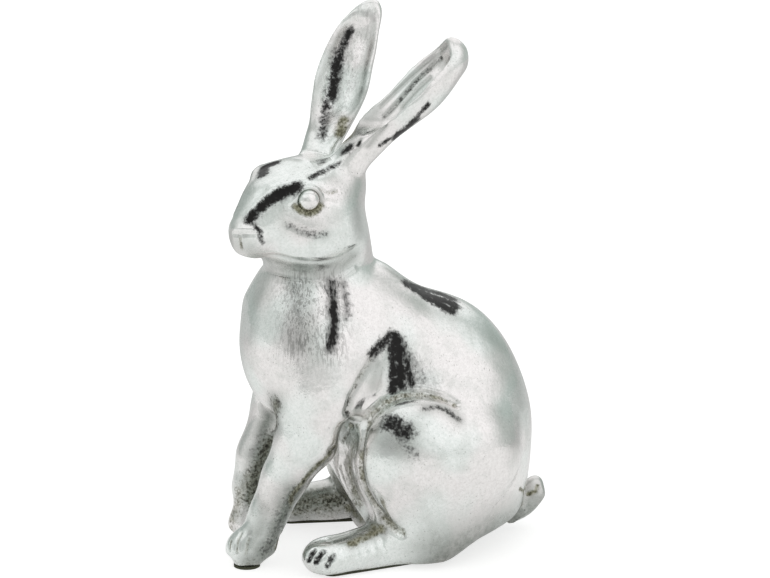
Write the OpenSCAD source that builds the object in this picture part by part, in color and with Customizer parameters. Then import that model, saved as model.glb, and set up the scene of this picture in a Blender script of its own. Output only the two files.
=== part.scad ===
// Seated rabbit figurine: resin castings pinned and glued together, then covered with silver leaf.
// The rabbit faces -Y, its left side is +X, and it stands on the plane Z = 0.

/* [Body] */
// Length of the body from the chest to the rump
body_l = 130; // [118:1:142]
// Width of the body across the rump
body_w = 88; // [80:1:96]
// Height of the back above the ground
back_h = 112; // [104:1:120]
// Diameter of the neck where the head joins it
neck_d = 50; // [45:0.5:54]
// Height of the neck joint above the back
neck_rise = 15.5; // [12:0.5:19]
// Thickness of the hollow body's wall
wall_t = 6; // [4.5:0.5:8]
// Diameter of the filling hole under the body
hole_d = 34; // [26:1:40]
// Glue gap between the castings
glue_t = 0.3; // [0.2:0.05:0.5]

/* [Head] */
// Length of the head from the nose to the back of the skull
head_l = 62; // [56:1:68]
// Width of the head across the cheeks
head_w = 49; // [44:1:54]
// Height of the head from the jaw to the crown
head_h = 50; // [45:1:55]
// Turn of the head to the rabbit's left
head_turn = 20; // [0:1:30]
// Diameter of an eye bead
eye_d = 9; // [8:0.2:10]

/* [Ears] */
// Length of an ear from the crown to its tip
ear_l = 72; // [64:1:80]
// Greatest width of an ear
ear_w = 27; // [23:0.5:31]
// Thickness of an ear from its back to its rims
ear_t = 15.5; // [12:0.5:19]
// Depth of the hollow in an ear's front
ear_cup = 8; // [5:0.5:10]
// Lean of the ears towards the back
ear_lean = 35; // [28:1:42]
// Spread of each ear away from the middle
ear_spread = 12; // [6:1:20]
// Tilt of both ears towards the rabbit's left
ear_tilt = 6; // [0:1:12]
// Turn of each ear's hollow towards the middle
ear_turn = 25; // [12:1:38]

/* [Legs] */
// Distance between the middles of the forelegs at the shoulder
shoulder_w = 46; // [42:1:50]
// Distance between the middles of the front paws
paw_gap = 33; // [28:1:38]
// Width of a front paw
paw_w = 21; // [18:0.5:24]
// How far the left front paw is set ahead of the right one
paw_stagger = 9; // [0:1:12]
// Diameter of a thigh seen from the side
thigh_d = 63; // [58:1:68]
// Width across both thighs
thigh_span = 104; // [98:1:110]
// Length of a hind foot from its heel to its toes
foot_l = 72; // [66:1:78]
// Width of a hind foot
foot_w = 21; // [18:0.5:24]
// Height of a hind foot
foot_h = 17; // [14:0.5:20]

/* [Tail] */
// Length of the tail
tail_l = 26; // [20:1:32]
// Diameter of the tail
tail_d = 11; // [9:0.5:13]

/* [Pins and pads] */
// Diameter of the dowel in the neck
neck_dowel_d = 10; // [8:0.5:12]
// Diameter of the dowels in the legs
leg_dowel_d = 5; // [4:0.5:6]
// Diameter of the pins in the ears and the tail
pin_d = 3; // [2.5:0.25:4]
// Room round a pin in its bore
pin_room = 0.1; // [0.05:0.05:0.2]
// Thickness of the felt pads
pad_t = 1; // [0.8:0.1:2]
// Thickness of the plug in the filling hole
plug_t = 4; // [3:0.5:6]

/* [Hidden] */
$fn = 36;

neck_h = back_h + neck_rise;
sole_z = pad_t;
middle_y = 0.1007*body_l;
close_enough = glue_t/30;
body_blend = 0.07*neck_d;
head_blend = 0.05*neck_d;

// Signed distances, negative inside. An ovoid has a centre and three radii, a limb two round ends.
function ovoid(p, c, r) =
    let (u = [(p.x - c.x)/r.x, (p.y - c.y)/r.y, (p.z - c.z)/r.z])
    let (k = norm(u), g = norm([u.x/r.x, u.y/r.y, u.z/r.z]))
    g == 0 ? -min(r) : k*(k - 1)/g;
function limb(p, a, b, ra, rb) =
    let (ab = b - a, t = max(0, min(1, ((p - a)*ab)/(ab*ab))))
    norm(p - a - t*ab) - ra - (rb - ra)*t;
function total(v) = v*[for (x = v) 1];
function soft_union(distances, k) = -k*ln(total([for (d = distances) exp(-d/k)]));
function mix(a, b, t) = a + (b - a)*t;
function smooth(t) = let (s = max(0, min(1, t))) s*s*(3 - 2*s);
function times(a, b) = [a.x*b.x, a.y*b.y, a.z*b.z];
function mirrored(p) = [abs(p.x), p.y, p.z];
function turn(v, angle) = [v.x*cos(angle) - v.y*sin(angle), v.x*sin(angle) + v.y*cos(angle), v.z];
function unit(v) = v/norm(v);

// Puts the origin under the middle of the figure.
module placed() {
    translate([0, -middle_y, 0]) children();
}

// How far a ray from inside a form goes before it leaves it.
function reach(form, from, way, r, most, steps = 30) =
    steps == 0 || r >= most ? min(r, most) :
    let (d = form(from + r*way))
    abs(d) < close_enough ? r :
    reach(form, from, way, max(0, r - 0.95*d), most, steps - 1);

// A closed skin over rings of equal length. Its two ends close onto their middles.
function middle_of(ring) = [for (k = [0:2]) total([for (p = ring) p[k]])/len(ring)];
module skin(rings, first_end = undef, last_end = undef) {
    n = len(rings[0]);
    last = len(rings) - 1;
    a_end = is_undef(first_end) ? middle_of(rings[0]) : first_end;
    b_end = is_undef(last_end) ? middle_of(rings[last]) : last_end;
    tip = n*len(rings);
    polyhedron(
        points = concat([for (ring = rings) each ring], [a_end, b_end]),
        faces = concat(
            [for (i = [0:n - 1]) [tip, i, (i + 1) % n]],
            [for (i = [0:n - 1]) [tip + 1, last*n + (i + 1) % n, last*n + i]],
            [for (k = [0:last - 1], i = [0:n - 1])
                let (j = (i + 1) % n, a = k*n, b = a + n)
                each [[a + i, b + j, a + j], [a + i, b + i, b + j]]]));
}

// A level direction: 0 points to the front, 90 to the rabbit's left.
function level_way(angle) = [sin(angle), -cos(angle), 0];
// The angle of step i of n, with the steps closer together at the front.
function front_dense(i, n, share) = let (a = 360*i/n) a - share*sin(a)*180/PI;

// Body. The core is the body without its legs; the full form has the forelegs and shoulders too.
body_size = [body_w, body_l, back_h];
core_shares = [
    [[0, 0.276, 0.411], [0.485, 0.358, 0.597]],
    [[0, 0.03, 0.80], [0.375, 0.285, 0.335]],
    [[0, -0.152, 0.845], [0.365, 0.224, 0.33]],
    [[0, 0.175, 0.36], [0.41, 0.155, 0.30]],
    [[0, 0.27, 0.15], [0.41, 0.31, 0.18]],
];
neck_low = [0, -0.10*body_l, back_h];
neck_high = [0, -0.117*body_l, neck_h + 0.25*neck_d];
function neck(p) = limb([1.2*p.x, p.y, p.z], neck_low, neck_high, 0.52*neck_d, 0.425*neck_d);
function core(p) = let (q = mirrored(p)) soft_union(concat(
    [for (o = core_shares) ovoid(q, times(o[0], body_size), times(o[1], body_size))],
    [neck(q)]), body_blend);

leg_seam_z = 0.6*back_h;
function stagger(side, z) = -0.5*side*paw_stagger*pow(max(0, 1 - z/leg_seam_z), 2);
arm_shares = [
    [1, -0.175, 0.66, 0.58],
    [0.96, -0.21, 0.50, 0.52],
    [0.4, -0.262, 0.357, 0.43],
    [0.1, -0.305, 0.214, 0.35],
    [0, -0.335, 0.089, 0.34],
];
function arm_point(row, side) = let (z = row[2]*back_h)
    [side*mix(paw_gap, shoulder_w, row[0])/2, row[1]*body_l + stagger(side, z), z];
function paw_middle(side) = [side*paw_gap/2, -0.362*body_l + stagger(side, 0), sole_z];
function paw(p, side) = ovoid(p,
    paw_middle(side) + [0, 0, 0.3*paw_w],
    [0.5*paw_w, 0.58*paw_w, 0.4*paw_w]);
function elbow(p, side) = ovoid(p,
    [side*0.49*shoulder_w, -0.17*body_l, 0.54*back_h],
    [0.24*shoulder_w, 0.065*body_l, 0.11*back_h]);
function arm(p, side) = soft_union(concat(
    [for (k = [0:3]) let (a = arm_shares[k], b = arm_shares[k + 1])
        limb(p, arm_point(a, side), arm_point(b, side), a[3]*paw_w, b[3]*paw_w)],
    [paw(p, side), elbow(p, side)]), head_blend);
function shoulder(p, side) = ovoid(p,
    [side*0.47*shoulder_w, -0.13*body_l, 0.71*back_h],
    [0.33*shoulder_w, 0.132*body_l, 0.23*back_h]);
function full(p) = let (side = p.x < 0 ? -1 : 1)
    soft_union([core(p), shoulder(p, side), arm(p, side)], body_blend);
function torso_at(p) = p.z < leg_seam_z - glue_t ? core(p) : full(p);

// Torso casting
middle_shares = [[0, 0.26], [0.4, 0.25], [0.66, 0.1], [0.9, -0.03], [1.13, -0.115]];
function torso_middle(z) = [0, lookup(z/back_h, middle_shares)*body_l, z];
torso_sides = 44;
function round_ring(c, form, n, dense_share, most) = [for (i = [0:n - 1])
    let (w = level_way(front_dense(i, n, dense_share)))
    c + w*reach(form, c, w, 0.1*most, most)];
core_field = function(p) core(p);
full_field = function(p) full(p);
hollow_field = function(p) core(p) + wall_t;
function torso_ring(z, form) = round_ring(torso_middle(z), form, torso_sides, 0.22, body_l);
hole_middle = [0, 0.25*body_l, 0];
hollow_top = neck_h - 2.2*neck_dowel_d;
function hole_ring(z, r) = [for (i = [0:torso_sides - 1])
    [hole_middle.x, hole_middle.y, z] + r*level_way(front_dense(i, torso_sides, 0.22))];
module torso_casting() {
    inside = [for (k = [0:14]) let (t = 1 - k/14) mix(sole_z + wall_t, hollow_top, t*(1 + 0.1*sin(180*t)))];
    low = [for (k = [0:17]) let (t = k/17) mix(sole_z, leg_seam_z - glue_t, t)];
    high = [for (k = [0:19]) mix(leg_seam_z, neck_h, k/19)];
    skin(concat(
        [for (z = inside) torso_ring(z, hollow_field)],
        [hole_ring(sole_z + wall_t, hole_d/2), hole_ring(sole_z, hole_d/2)],
        [for (z = low) torso_ring(z, core_field)],
        [for (z = high) torso_ring(z, full_field)]));
}
module torso_shell() {
    color("silver") placed() difference() {
        torso_casting();
        neck_pin(pin_room);
        for (side = [-1, 1]) {
            arm_pin(side, pin_room);
            hip_pin(side, pin_room);
        }
        tail_post(pin_room);
    }
}

// Head
head_size = [head_w, head_l, head_h];
head_middle = [0.04*head_w, -0.147*body_l, neck_h + 0.53*head_h];
head_shares = [
    [[0, 0, 0], [0.485, 0.37, 0.485]],
    [[0, -0.22, 0.02], [0.34, 0.32, 0.37]],
    [[0, -0.485, -0.1], [0.2, 0.15, 0.19]],
    [[0.2, -0.06, -0.18], [0.27, 0.29, 0.27]],
    [[0.27, -0.17, 0.27], [0.13, 0.16, 0.12]],
    [[0.18, 0.2, 0.25], [0.17, 0.17, 0.21]],
];
function from_head(p) = head_middle + turn(p, head_turn);
function to_head(p) = turn(p - head_middle, -head_turn);
function head_field_at(p) = let (m = mirrored(to_head(p))) soft_union(concat(
    [for (o = head_shares) ovoid(m, times(o[0], head_size), times(o[1], head_size))],
    [neck(p)]), head_blend);
head_field = function(p) head_field_at(p);
head_sides = 48;
crown = from_head([0, 0.1*head_l, 0.1*head_h]);
module head_casting() {
    top = crown.z + reach(head_field, crown, [0, 0, 1], 0.1*head_h, head_h);
    base = neck_h + glue_t;
    rings = [for (k = [0:30]) let (s = k/30, z = mix(base, top, sin(85*s)/sin(85.8)))
        let (u = smooth((z - base)/(head_middle.z - base)))
        let (c = [mix(neck_high.x, crown.x, u), mix(neck_high.y, crown.y, u), z])
        [for (i = [0:head_sides - 1])
            let (w = turn(level_way(front_dense(i, head_sides, 0.4)), head_turn))
            c + w*reach(head_field, c, w, 0.1*head_l, head_l)]];
    skin(rings);
}
function eye_middle(side) = from_head([side*0.385*head_w, -0.205*head_l, 0.205*head_h]);
module head() {
    color("silver") placed() difference() {
        head_casting();
        neck_pin(pin_room);
        for (side = [-1, 1]) {
            translate(eye_middle(side)) rotate([0, 0, head_turn + 90*(side + 1)])
                sphere(d = eye_d + 5*pin_room);
            ear_post(side, pin_room);
        }
    }
}
module eye(side) {
    color("silver") placed() translate(eye_middle(side)) sphere(d = eye_d);
}
module left_eye() { eye(1); }
module right_eye() { eye(-1); }

// Ears
ear_width_shares = [[-0.2, 0.6], [0, 0.62], [0.12, 0.68], [0.3, 0.88], [0.48, 1], [0.64, 0.97], [0.78, 0.8],
    [0.88, 0.58], [0.95, 0.36], [1, 0.12]];
function ear_root(side) = from_head([side*0.22*head_w, (0.25 + 0.02*side)*head_l, 0.46*head_h]);
function ear_axis(side) = let (lean = ear_lean + side*ear_tilt, out = ear_spread*side + ear_tilt)
    turn(unit([tan(out), tan(lean), 1]), head_turn);
function ear_front(side) =
    let (a = ear_axis(side), f = turn([0, -1, 0], head_turn - side*ear_turn + ear_tilt))
    unit(f - (f*a)*a);
function ear_point(side, i, n, t) =
    let (a = ear_axis(side), f = ear_front(side), w = cross(a, f))
    let (half = lookup(t, ear_width_shares)*ear_w/2)
    let (deep = ear_t*mix(0.8, 1, t)*sqrt(max(0.01, 1 - pow(max(0, t), 5))))
    let (cup = mix(-0.25*deep, ear_cup, smooth((t - 0.02)/0.3)*smooth((0.97 - t)/0.2)))
    let (angle = 360*i/n, x = cos(angle)*(angle < 180 ? 1 : 0.84))
    let (y = angle <= 180 ? sin(angle)*deep : -sin(angle)*cup)
    ear_root(side) + a*t*ear_l + w*x*half - f*(y - 0.4*deep);
function ear_start(side, i, n, low, high, steps) = let (mid = (low + high)/2)
    steps == 0 ? mid :
    head_field_at(ear_point(side, i, n, mid)) > 1.5*glue_t ? ear_start(side, i, n, low, mid, steps - 1) :
    ear_start(side, i, n, mid, high, steps - 1);
module ear(side) {
    n = 26;
    starts = [for (i = [0:n - 1]) ear_start(side, i, n, -0.3, 0.4, 11)];
    rings = [for (k = [0:24]) let (s = 1 - pow(1 - k/24, 1.35))
        [for (i = [0:n - 1]) ear_point(side, i, n, mix(starts[i], 1, s))]];
    root = middle_of(rings[0]);
    function above_head(p) = p + ear_axis(side)*max(0, 1.5*(2*glue_t - head_field_at(p)));
    base = [for (s = [0.35, 0.7]) [for (p = rings[0]) above_head(mix(root, p, s))]];
    color("silver") placed() difference() {
        skin(concat(base, rings), above_head(root));
        ear_post(side, pin_room);
    }
}
module left_ear() { ear(1); }
module right_ear() { ear(-1); }

// Forelegs
leg_sides = 28;
module foreleg_casting(side) {
    path = [for (k = [4:-1:0]) arm_point(arm_shares[k], side)];
    clear = function(p) max(full(p), 2*glue_t - core(p), arm(p, side) - 4*glue_t);
    skin([for (k = [0:24]) let (t = k/24, z = mix(sole_z, leg_seam_z - 2*glue_t, pow(t, 1.2)))
        let (c = [lookup(z, [for (p = path) [p.z, p.x]]) + side*0.03*shoulder_w*t,
            lookup(z, [for (p = path) [p.z, p.y]]), z])
        [for (i = [0:leg_sides - 1]) let (w = level_way(360*i/leg_sides))
            c + w*reach(clear, c, w, 0.02*paw_w, 2*paw_w)]]);
}
module foreleg(side) {
    color("silver") placed() difference() {
        foreleg_casting(side);
        arm_pin(side, pin_room);
    }
}
module left_foreleg() { foreleg(1); }
module right_foreleg() { foreleg(-1); }

// Hind legs
thigh_middle = [0.27*thigh_span, 0.19*body_l, 0.42*back_h];
function thigh(p) = let (back = smooth((p.y - thigh_middle.y)/(0.5*thigh_d) + 0.3))
    ovoid(p, thigh_middle + [0, 0.1*thigh_d*back, 0],
        [0.5*thigh_span - thigh_middle.x, thigh_d*mix(0.5, 0.62, back), 0.5*thigh_d]);
foot_turn = 9;
heel = [0.26*thigh_span, 0.3*body_l, sole_z];
function to_foot(p) = turn(p - heel, -foot_turn);
function foot(p) = let (q = to_foot(p)) soft_union([
    limb(q, [0, -0.06*foot_l, 0.55*foot_h], [0, -0.6*foot_l, 0.46*foot_h], 0.68*foot_h, 0.58*foot_h),
    ovoid(q, [0, -0.82*foot_l, 0.42*foot_h], [0.5*foot_w, 0.18*foot_l, 0.5*foot_h])], head_blend);
function hock(p) = ovoid(p,
    [0.31*thigh_span, 0.2*body_l, 0.9*foot_h],
    [0.15*thigh_span, 0.21*body_l, 1.05*foot_h]);
function hind(p) = soft_union([core(p), soft_union([thigh(p), hock(p)], head_blend)], 0.4*head_blend);
hind_hub = [0.16*thigh_span, 0.2*body_l, 0.4*back_h];
function hub_way(angle, out) = [cos(out), sin(out)*cos(angle), sin(out)*sin(angle)];
hind_field = function(p) hind(p);
hind_clear = function(p) torso_at(p) - 1.5*glue_t;
function hub_reach(form, angle, out) =
    let (w = hub_way(angle, out), r = reach(form, hind_hub, w, 0.1*thigh_d, thigh_d))
    w.z*r < sole_z - hind_hub.z ? (sole_z - hind_hub.z)/w.z : r;
function hub_edge(angle, low, high, steps) = let (mid = (low + high)/2)
    steps == 0 ? low :
    hub_reach(hind_field, angle, mid) - hub_reach(hind_clear, angle, mid) > 2*glue_t
        ? hub_edge(angle, mid, high, steps - 1) : hub_edge(angle, low, mid, steps - 1);
module thigh_casting() {
    n = 36;
    edges = [for (i = [0:n - 1]) hub_edge(360*i/n, 35, 95, 8)];
    function at(form, i, s) = let (a = 360*i/n, out = s*edges[i])
        hind_hub + hub_way(a, out)*hub_reach(form, a, out);
    inner = [for (k = [1:10]) let (s = k/10) [for (i = [0:n - 1]) at(hind_clear, i, s)]];
    outer = [for (k = [14:-1:1]) let (s = sin(90*k/14)) [for (i = [0:n - 1]) at(hind_field, i, s)]];
    skin(concat(inner, outer), at(hind_clear, 0, 0), at(hind_field, 0, 0));
}
module foot_casting() {
    n = 24;
    clear = function(p) let (q = heel + turn(p, foot_turn)) max(foot(q), glue_t - torso_at(q));
    translate(heel) rotate([0, 0, foot_turn]) skin([for (k = [0:22])
        let (t = k/22, y = mix(0.02*foot_l, -0.99*foot_l, 1 - pow(1 - t, 1.4)), c = [0, y, 0.42*foot_h])
        [for (i = [0:n - 1])
            let (w = [cos(360*i/n), 0, sin(360*i/n)], r = reach(clear, c, w, 0.02*foot_w, foot_w))
            c + w*(w.z*r < -c.z ? -c.z/w.z : r)]]);
}
module left_hind_leg() {
    color("silver") placed() difference() {
        union() {
            thigh_casting();
            foot_casting();
        }
        hip_pin(1, pin_room);
    }
}
module right_hind_leg() { mirror([1, 0, 0]) left_hind_leg(); }

// Tail
tail_root = [0, 0.53*body_l, sole_z + 0.75*tail_d];
tail_bend = tail_root + [0, 0.6*tail_l, -0.1*tail_d];
tail_tip = tail_root + [0, 0.7*tail_l, 0.55*tail_l];
function tail_path(t) = mix(mix(tail_root, tail_bend, t), mix(tail_bend, tail_tip, t), t);
function tail_point(i, n, t) =
    let (c = tail_path(t), way = unit(tail_path(t + 0.01) - tail_path(t - 0.01)))
    let (up = cross([1, 0, 0], way))
    let (r = 0.5*tail_d*mix(1, 0.85, t)*sqrt(max(0.02, 1 - pow(max(0, t), 8))))
    c + r*(sin(360*i/n)*[1, 0, 0] + cos(360*i/n)*up);
function tail_start(i, n, low, high, steps) = let (m = (low + high)/2)
    steps == 0 ? m :
    core(tail_point(i, n, m)) > 2*glue_t ? tail_start(i, n, low, m, steps - 1) :
    tail_start(i, n, m, high, steps - 1);
module tail() {
    n = 20;
    starts = [for (i = [0:n - 1]) tail_start(i, n, -0.3, 0.9, 11)];
    rings = [for (k = [0:14]) let (s = 1 - pow(1 - k/14, 1.5))
        [for (i = [0:n - 1]) tail_point(i, n, mix(starts[i], 1, s))]];
    color("silver") placed() difference() {
        skin(rings);
        tail_post(pin_room);
    }
}

// Dowels and pins. Each is drawn once, and again with room round it to cut its bores.
module rod(d, l, room) {
    cylinder(d = d + 2*room, h = l + 2*room, center = true);
}
module neck_pin(room) {
    translate([0, -0.11*body_l, neck_h]) rod(neck_dowel_d, 3.6*neck_dowel_d, room);
}
module arm_pin(side, room) {
    translate([side*0.575*shoulder_w, -0.18*body_l, leg_seam_z]) rod(leg_dowel_d, 3.6*leg_dowel_d, room);
}
module hip_pin(side, room) {
    translate([side*0.48*body_w, thigh_middle.y, thigh_middle.z]) rotate([0, 90, 0])
        rod(leg_dowel_d, 1.8*leg_dowel_d, room);
}
module ear_post(side, room) {
    a = ear_axis(side);
    translate(ear_root(side)) rotate([0, acos(a.z), atan2(a.y, a.x)]) rod(pin_d, 5*pin_d, room);
}
module tail_post(room) {
    translate([0, 0.583*body_l, tail_root.z + 0.1*pin_d]) rotate([90, 0, 0]) rod(pin_d, 3.2*pin_d, room);
}
module neck_dowel() { color("burlywood") placed() neck_pin(0); }
module left_ear_pin() { color("gray") placed() ear_post(1, 0); }
module right_ear_pin() { color("gray") placed() ear_post(-1, 0); }
module left_foreleg_dowel() { color("gray") placed() arm_pin(1, 0); }
module right_foreleg_dowel() { color("gray") placed() arm_pin(-1, 0); }
module left_hip_dowel() { color("gray") placed() hip_pin(1, 0); }
module right_hip_dowel() { color("gray") placed() hip_pin(-1, 0); }
module tail_pin() { color("gray") placed() tail_post(0); }

// Plug in the filling hole, and felt pads under the paws, the hind feet and the rump
module filling_plug() {
    color("tan") placed() translate([hole_middle.x, hole_middle.y, sole_z])
        cylinder(d = hole_d - 4*glue_t, h = plug_t);
}
module fore_pad(side) {
    m = paw_middle(side);
    color("olive") placed() translate([m.x, m.y, 0]) cylinder(d = 0.55*paw_w, h = pad_t);
}
module left_fore_pad() { fore_pad(1); }
module right_fore_pad() { fore_pad(-1); }
module left_hind_pad() {
    w = 0.42*foot_w;
    color("olive") placed() translate([heel.x, heel.y, 0]) rotate([0, 0, foot_turn])
        linear_extrude(height = pad_t) union() {
            translate([-w/2, -0.8*foot_l]) square([w, 0.6*foot_l]);
            translate([0, -0.8*foot_l]) circle(d = w);
            translate([0, -0.2*foot_l]) circle(d = w);
        }
}
module right_hind_pad() { mirror([1, 0, 0]) left_hind_pad(); }
module rump_pad() {
    color("olive") placed() translate([hole_middle.x, hole_middle.y, 0])
        linear_extrude(height = pad_t) difference() {
            circle(d = 0.53*body_w);
            circle(d = hole_d + 3*pad_t);
        }
}

torso_shell();
head();
left_ear();
right_ear();
left_eye();
right_eye();
left_foreleg();
right_foreleg();
left_hind_leg();
right_hind_leg();
tail();
neck_dowel();
left_ear_pin();
right_ear_pin();
left_foreleg_dowel();
right_foreleg_dowel();
left_hip_dowel();
right_hip_dowel();
tail_pin();
filling_plug();
left_fore_pad();
right_fore_pad();
left_hind_pad();
right_hind_pad();
rump_pad();
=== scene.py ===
# %% [markdown]
# # A silver-leafed rabbit
# The real ornament is a set of resin castings, pinned and glued, covered with thin metal leaf
# and rubbed with a dark olive wash that stays in the hollows. The plain castings come from the
# packed frame. This lesson turns copies of them into one modelled skin, carves the details into
# it, cuts it back into the same castings, and gives it the leaf, with dark reflections and shade
# painted into the leaf's colour.

# %% The frame
import math

import bmesh
import bpy
import numpy as np
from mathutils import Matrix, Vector
from mathutils.bvhtree import BVHTree


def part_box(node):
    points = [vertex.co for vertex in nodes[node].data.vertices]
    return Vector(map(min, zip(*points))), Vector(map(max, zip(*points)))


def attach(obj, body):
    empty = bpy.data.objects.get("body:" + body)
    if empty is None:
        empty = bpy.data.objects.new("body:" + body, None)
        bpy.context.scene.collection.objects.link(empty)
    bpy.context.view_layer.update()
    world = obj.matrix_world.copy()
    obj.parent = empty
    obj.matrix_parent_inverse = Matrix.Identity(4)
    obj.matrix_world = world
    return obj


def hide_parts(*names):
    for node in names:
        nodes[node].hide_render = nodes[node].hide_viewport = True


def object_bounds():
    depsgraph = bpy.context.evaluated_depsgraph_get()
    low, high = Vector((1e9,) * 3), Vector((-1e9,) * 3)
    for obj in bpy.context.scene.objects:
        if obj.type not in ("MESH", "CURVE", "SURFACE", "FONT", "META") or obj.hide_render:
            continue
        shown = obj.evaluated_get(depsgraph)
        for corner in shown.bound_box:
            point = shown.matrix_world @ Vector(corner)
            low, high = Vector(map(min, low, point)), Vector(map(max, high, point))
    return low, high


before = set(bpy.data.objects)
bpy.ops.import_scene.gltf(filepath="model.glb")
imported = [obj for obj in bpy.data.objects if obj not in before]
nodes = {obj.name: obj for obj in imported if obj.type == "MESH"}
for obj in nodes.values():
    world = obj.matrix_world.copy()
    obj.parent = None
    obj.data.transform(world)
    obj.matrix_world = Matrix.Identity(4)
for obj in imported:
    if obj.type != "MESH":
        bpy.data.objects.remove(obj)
cad_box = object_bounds()
MM = 0.001
print("frame", [round(v / MM, 1) for corner in cad_box for v in corner])

# %% [markdown]
# ## The camera
# The photograph was taken with a long lens from the rabbit's left, a little ahead of it and a
# little above. A real camera at that place makes the outline match. The same numbers also turn
# a pixel of the photograph into a point on the rabbit, which places the carved details.

# %% The photograph's camera
PHOTO_W, PHOTO_H = 770, 578
PX_PER_MM = 2.28
CAMERA_AZ, CAMERA_EL = math.radians(74), math.radians(15)
CAMERA_FAR = 1400 * MM
SENSOR = 36
aim = Vector((0, 2.9, 116)) * MM
to_camera = Vector((
    math.sin(CAMERA_AZ) * math.cos(CAMERA_EL),
    -math.cos(CAMERA_AZ) * math.cos(CAMERA_EL),
    math.sin(CAMERA_EL)))
to_right = Vector((math.cos(CAMERA_AZ), math.sin(CAMERA_AZ), 0))
to_top = to_camera.cross(to_right)
eye_point = aim + to_camera * CAMERA_FAR
focal_px = PX_PER_MM * CAMERA_FAR / MM

camera = bpy.data.objects.new("camera", bpy.data.cameras.new("camera"))
bpy.context.scene.collection.objects.link(camera)
bpy.context.scene.camera = camera
camera.data.sensor_width = SENSOR
camera.data.lens = focal_px * SENSOR / PHOTO_W
camera.rotation_mode = "QUATERNION"
camera.rotation_quaternion = to_camera.to_track_quat("Z", "Y")
camera.location = eye_point
print("lens", round(camera.data.lens, 1))


def sight(x, y):
    """The direction from the camera through a pixel of the photograph."""
    from_middle = to_right * (x - PHOTO_W / 2) - to_top * (y - PHOTO_H / 2)
    return (from_middle - to_camera * focal_px).normalized()


# %% [markdown]
# ## One skin over all the castings
# A glued and leafed figure shows no joints, so the castings are joined before they are carved.
# The hollow inside the body is taken out of the copy first, and the dowels go in to fill their
# bores. A voxel remesh then makes one even skin of small squares, which carving needs.

# %% Copies of the castings
CASTINGS = ["torso_shell", "head", "left_ear", "right_ear", "left_foreleg", "right_foreleg",
            "left_hind_leg", "right_hind_leg", "tail"]
DOWELS = ["neck_dowel", "left_ear_pin", "right_ear_pin", "left_foreleg_dowel",
          "right_foreleg_dowel", "left_hip_dowel", "right_hip_dowel", "tail_pin"]
WELD = 0.0001 * MM


def box_middle(node):
    """The middle of a CAD node's box."""
    low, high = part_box(node)
    return (low + high) / 2


def copy_of(node):
    """A bmesh copy of a CAD node with its loose triangles welded."""
    bm = bmesh.new()
    bm.from_mesh(nodes[node].data)
    bmesh.ops.remove_doubles(bm, verts=bm.verts, dist=WELD)
    return bm


def island_of(bm, start):
    """All faces that can be reached from one face."""
    found, ahead = {start}, [start]
    while ahead:
        for edge in ahead.pop().edges:
            for face in edge.link_faces:
                if face not in found:
                    found.add(face)
                    ahead.append(face)
    return found


# %% [markdown]
# The torso is hollow, with a filling hole underneath. Without the faces of the hole's wall its
# outside and its inside come apart, so the outside is kept and the hole is closed higher up.

# %% The torso without its hollow
plug_middle = box_middle("filling_plug")
plug_low, plug_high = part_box("filling_plug")
plug_r = (plug_high.x - plug_low.x) / 2
sole_z = plug_low.z
FLOOR_T = 6 * MM
WALL_REACH = 0.9 * MM


def solid_torso():
    """The torso without its hollow: the wall of the filling hole goes, then all that it joined."""
    bm = copy_of("torso_shell")
    wall = [f for f in bm.faces
            if f.calc_center_median().z < sole_z + FLOOR_T + MM
            and (f.calc_center_median() - plug_middle).xy.length < plug_r + WALL_REACH]
    bmesh.ops.delete(bm, geom=wall, context="FACES_ONLY")
    outer = island_of(bm, max(bm.faces, key=lambda f: f.calc_center_median().z))
    bmesh.ops.delete(bm, geom=[f for f in bm.faces if f not in outer], context="FACES")
    pocket = bmesh.ops.extrude_edge_only(bm, edges=[e for e in bm.edges if e.is_boundary])["geom"]
    top = [v for v in pocket if isinstance(v, bmesh.types.BMVert)]
    bmesh.ops.translate(bm, verts=top, vec=(0, 0, FLOOR_T))
    bmesh.ops.holes_fill(bm, edges=[e for e in bm.edges if e.is_boundary], sides=0)
    bmesh.ops.triangulate(bm, faces=bm.faces[:])
    bmesh.ops.recalc_face_normals(bm, faces=bm.faces[:])
    return bm


def add_to(bm, part):
    """Adds one bmesh to another and frees it."""
    mesh = bpy.data.meshes.new("part")
    part.to_mesh(mesh)
    part.free()
    bm.from_mesh(mesh)
    bpy.data.meshes.remove(mesh)


torso = solid_torso()
print("torso", len(torso.faces), "triangles without its hollow")

# %% [markdown]
# The nine castings and the dowels overlap or touch inside, which the voxel remesh doesn't mind:
# it keeps only the outer skin of all of them.

# %% The castings joined
blank = bmesh.new()
add_to(blank, torso)
for name in CASTINGS[1:] + DOWELS:
    add_to(blank, copy_of(name))
print("blank", len(blank.faces), "triangles, open edges", sum(e.is_boundary for e in blank.edges))

# %% [markdown]
# The remesh also leaves shells round closed pockets inside. Only the faces that can be reached
# from the topmost one are kept.

# %% The voxel remesh
VOXEL = 0.7 * MM
skin_mesh = bpy.data.meshes.new("skin")
blank.to_mesh(skin_mesh)
blank.free()
skin = bpy.data.objects.new("skin", skin_mesh)
bpy.context.scene.collection.objects.link(skin)
remesh = skin.modifiers.new("remesh", "REMESH")
remesh.mode = "VOXEL"
remesh.voxel_size = VOXEL
bpy.context.view_layer.update()
shaped = bpy.data.meshes.new_from_object(skin.evaluated_get(bpy.context.evaluated_depsgraph_get()))
bpy.data.objects.remove(skin)

keep = bmesh.new()
keep.from_mesh(shaped)
keep.faces.ensure_lookup_table()
body = island_of(keep, max(keep.faces, key=lambda f: f.calc_center_median().z))
bmesh.ops.delete(keep, geom=[f for f in keep.faces if f not in body], context="FACES")
keep.to_mesh(shaped)
keep.free()
print("skin", len(shaped.vertices), "vertices")

# %% [markdown]
# ## Working on the skin as numbers
# The skin has about two hundred thousand vertices, so each change is a sum over all of them at
# once: a place array, the edges that join neighbours, and a normal for each vertex.

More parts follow.
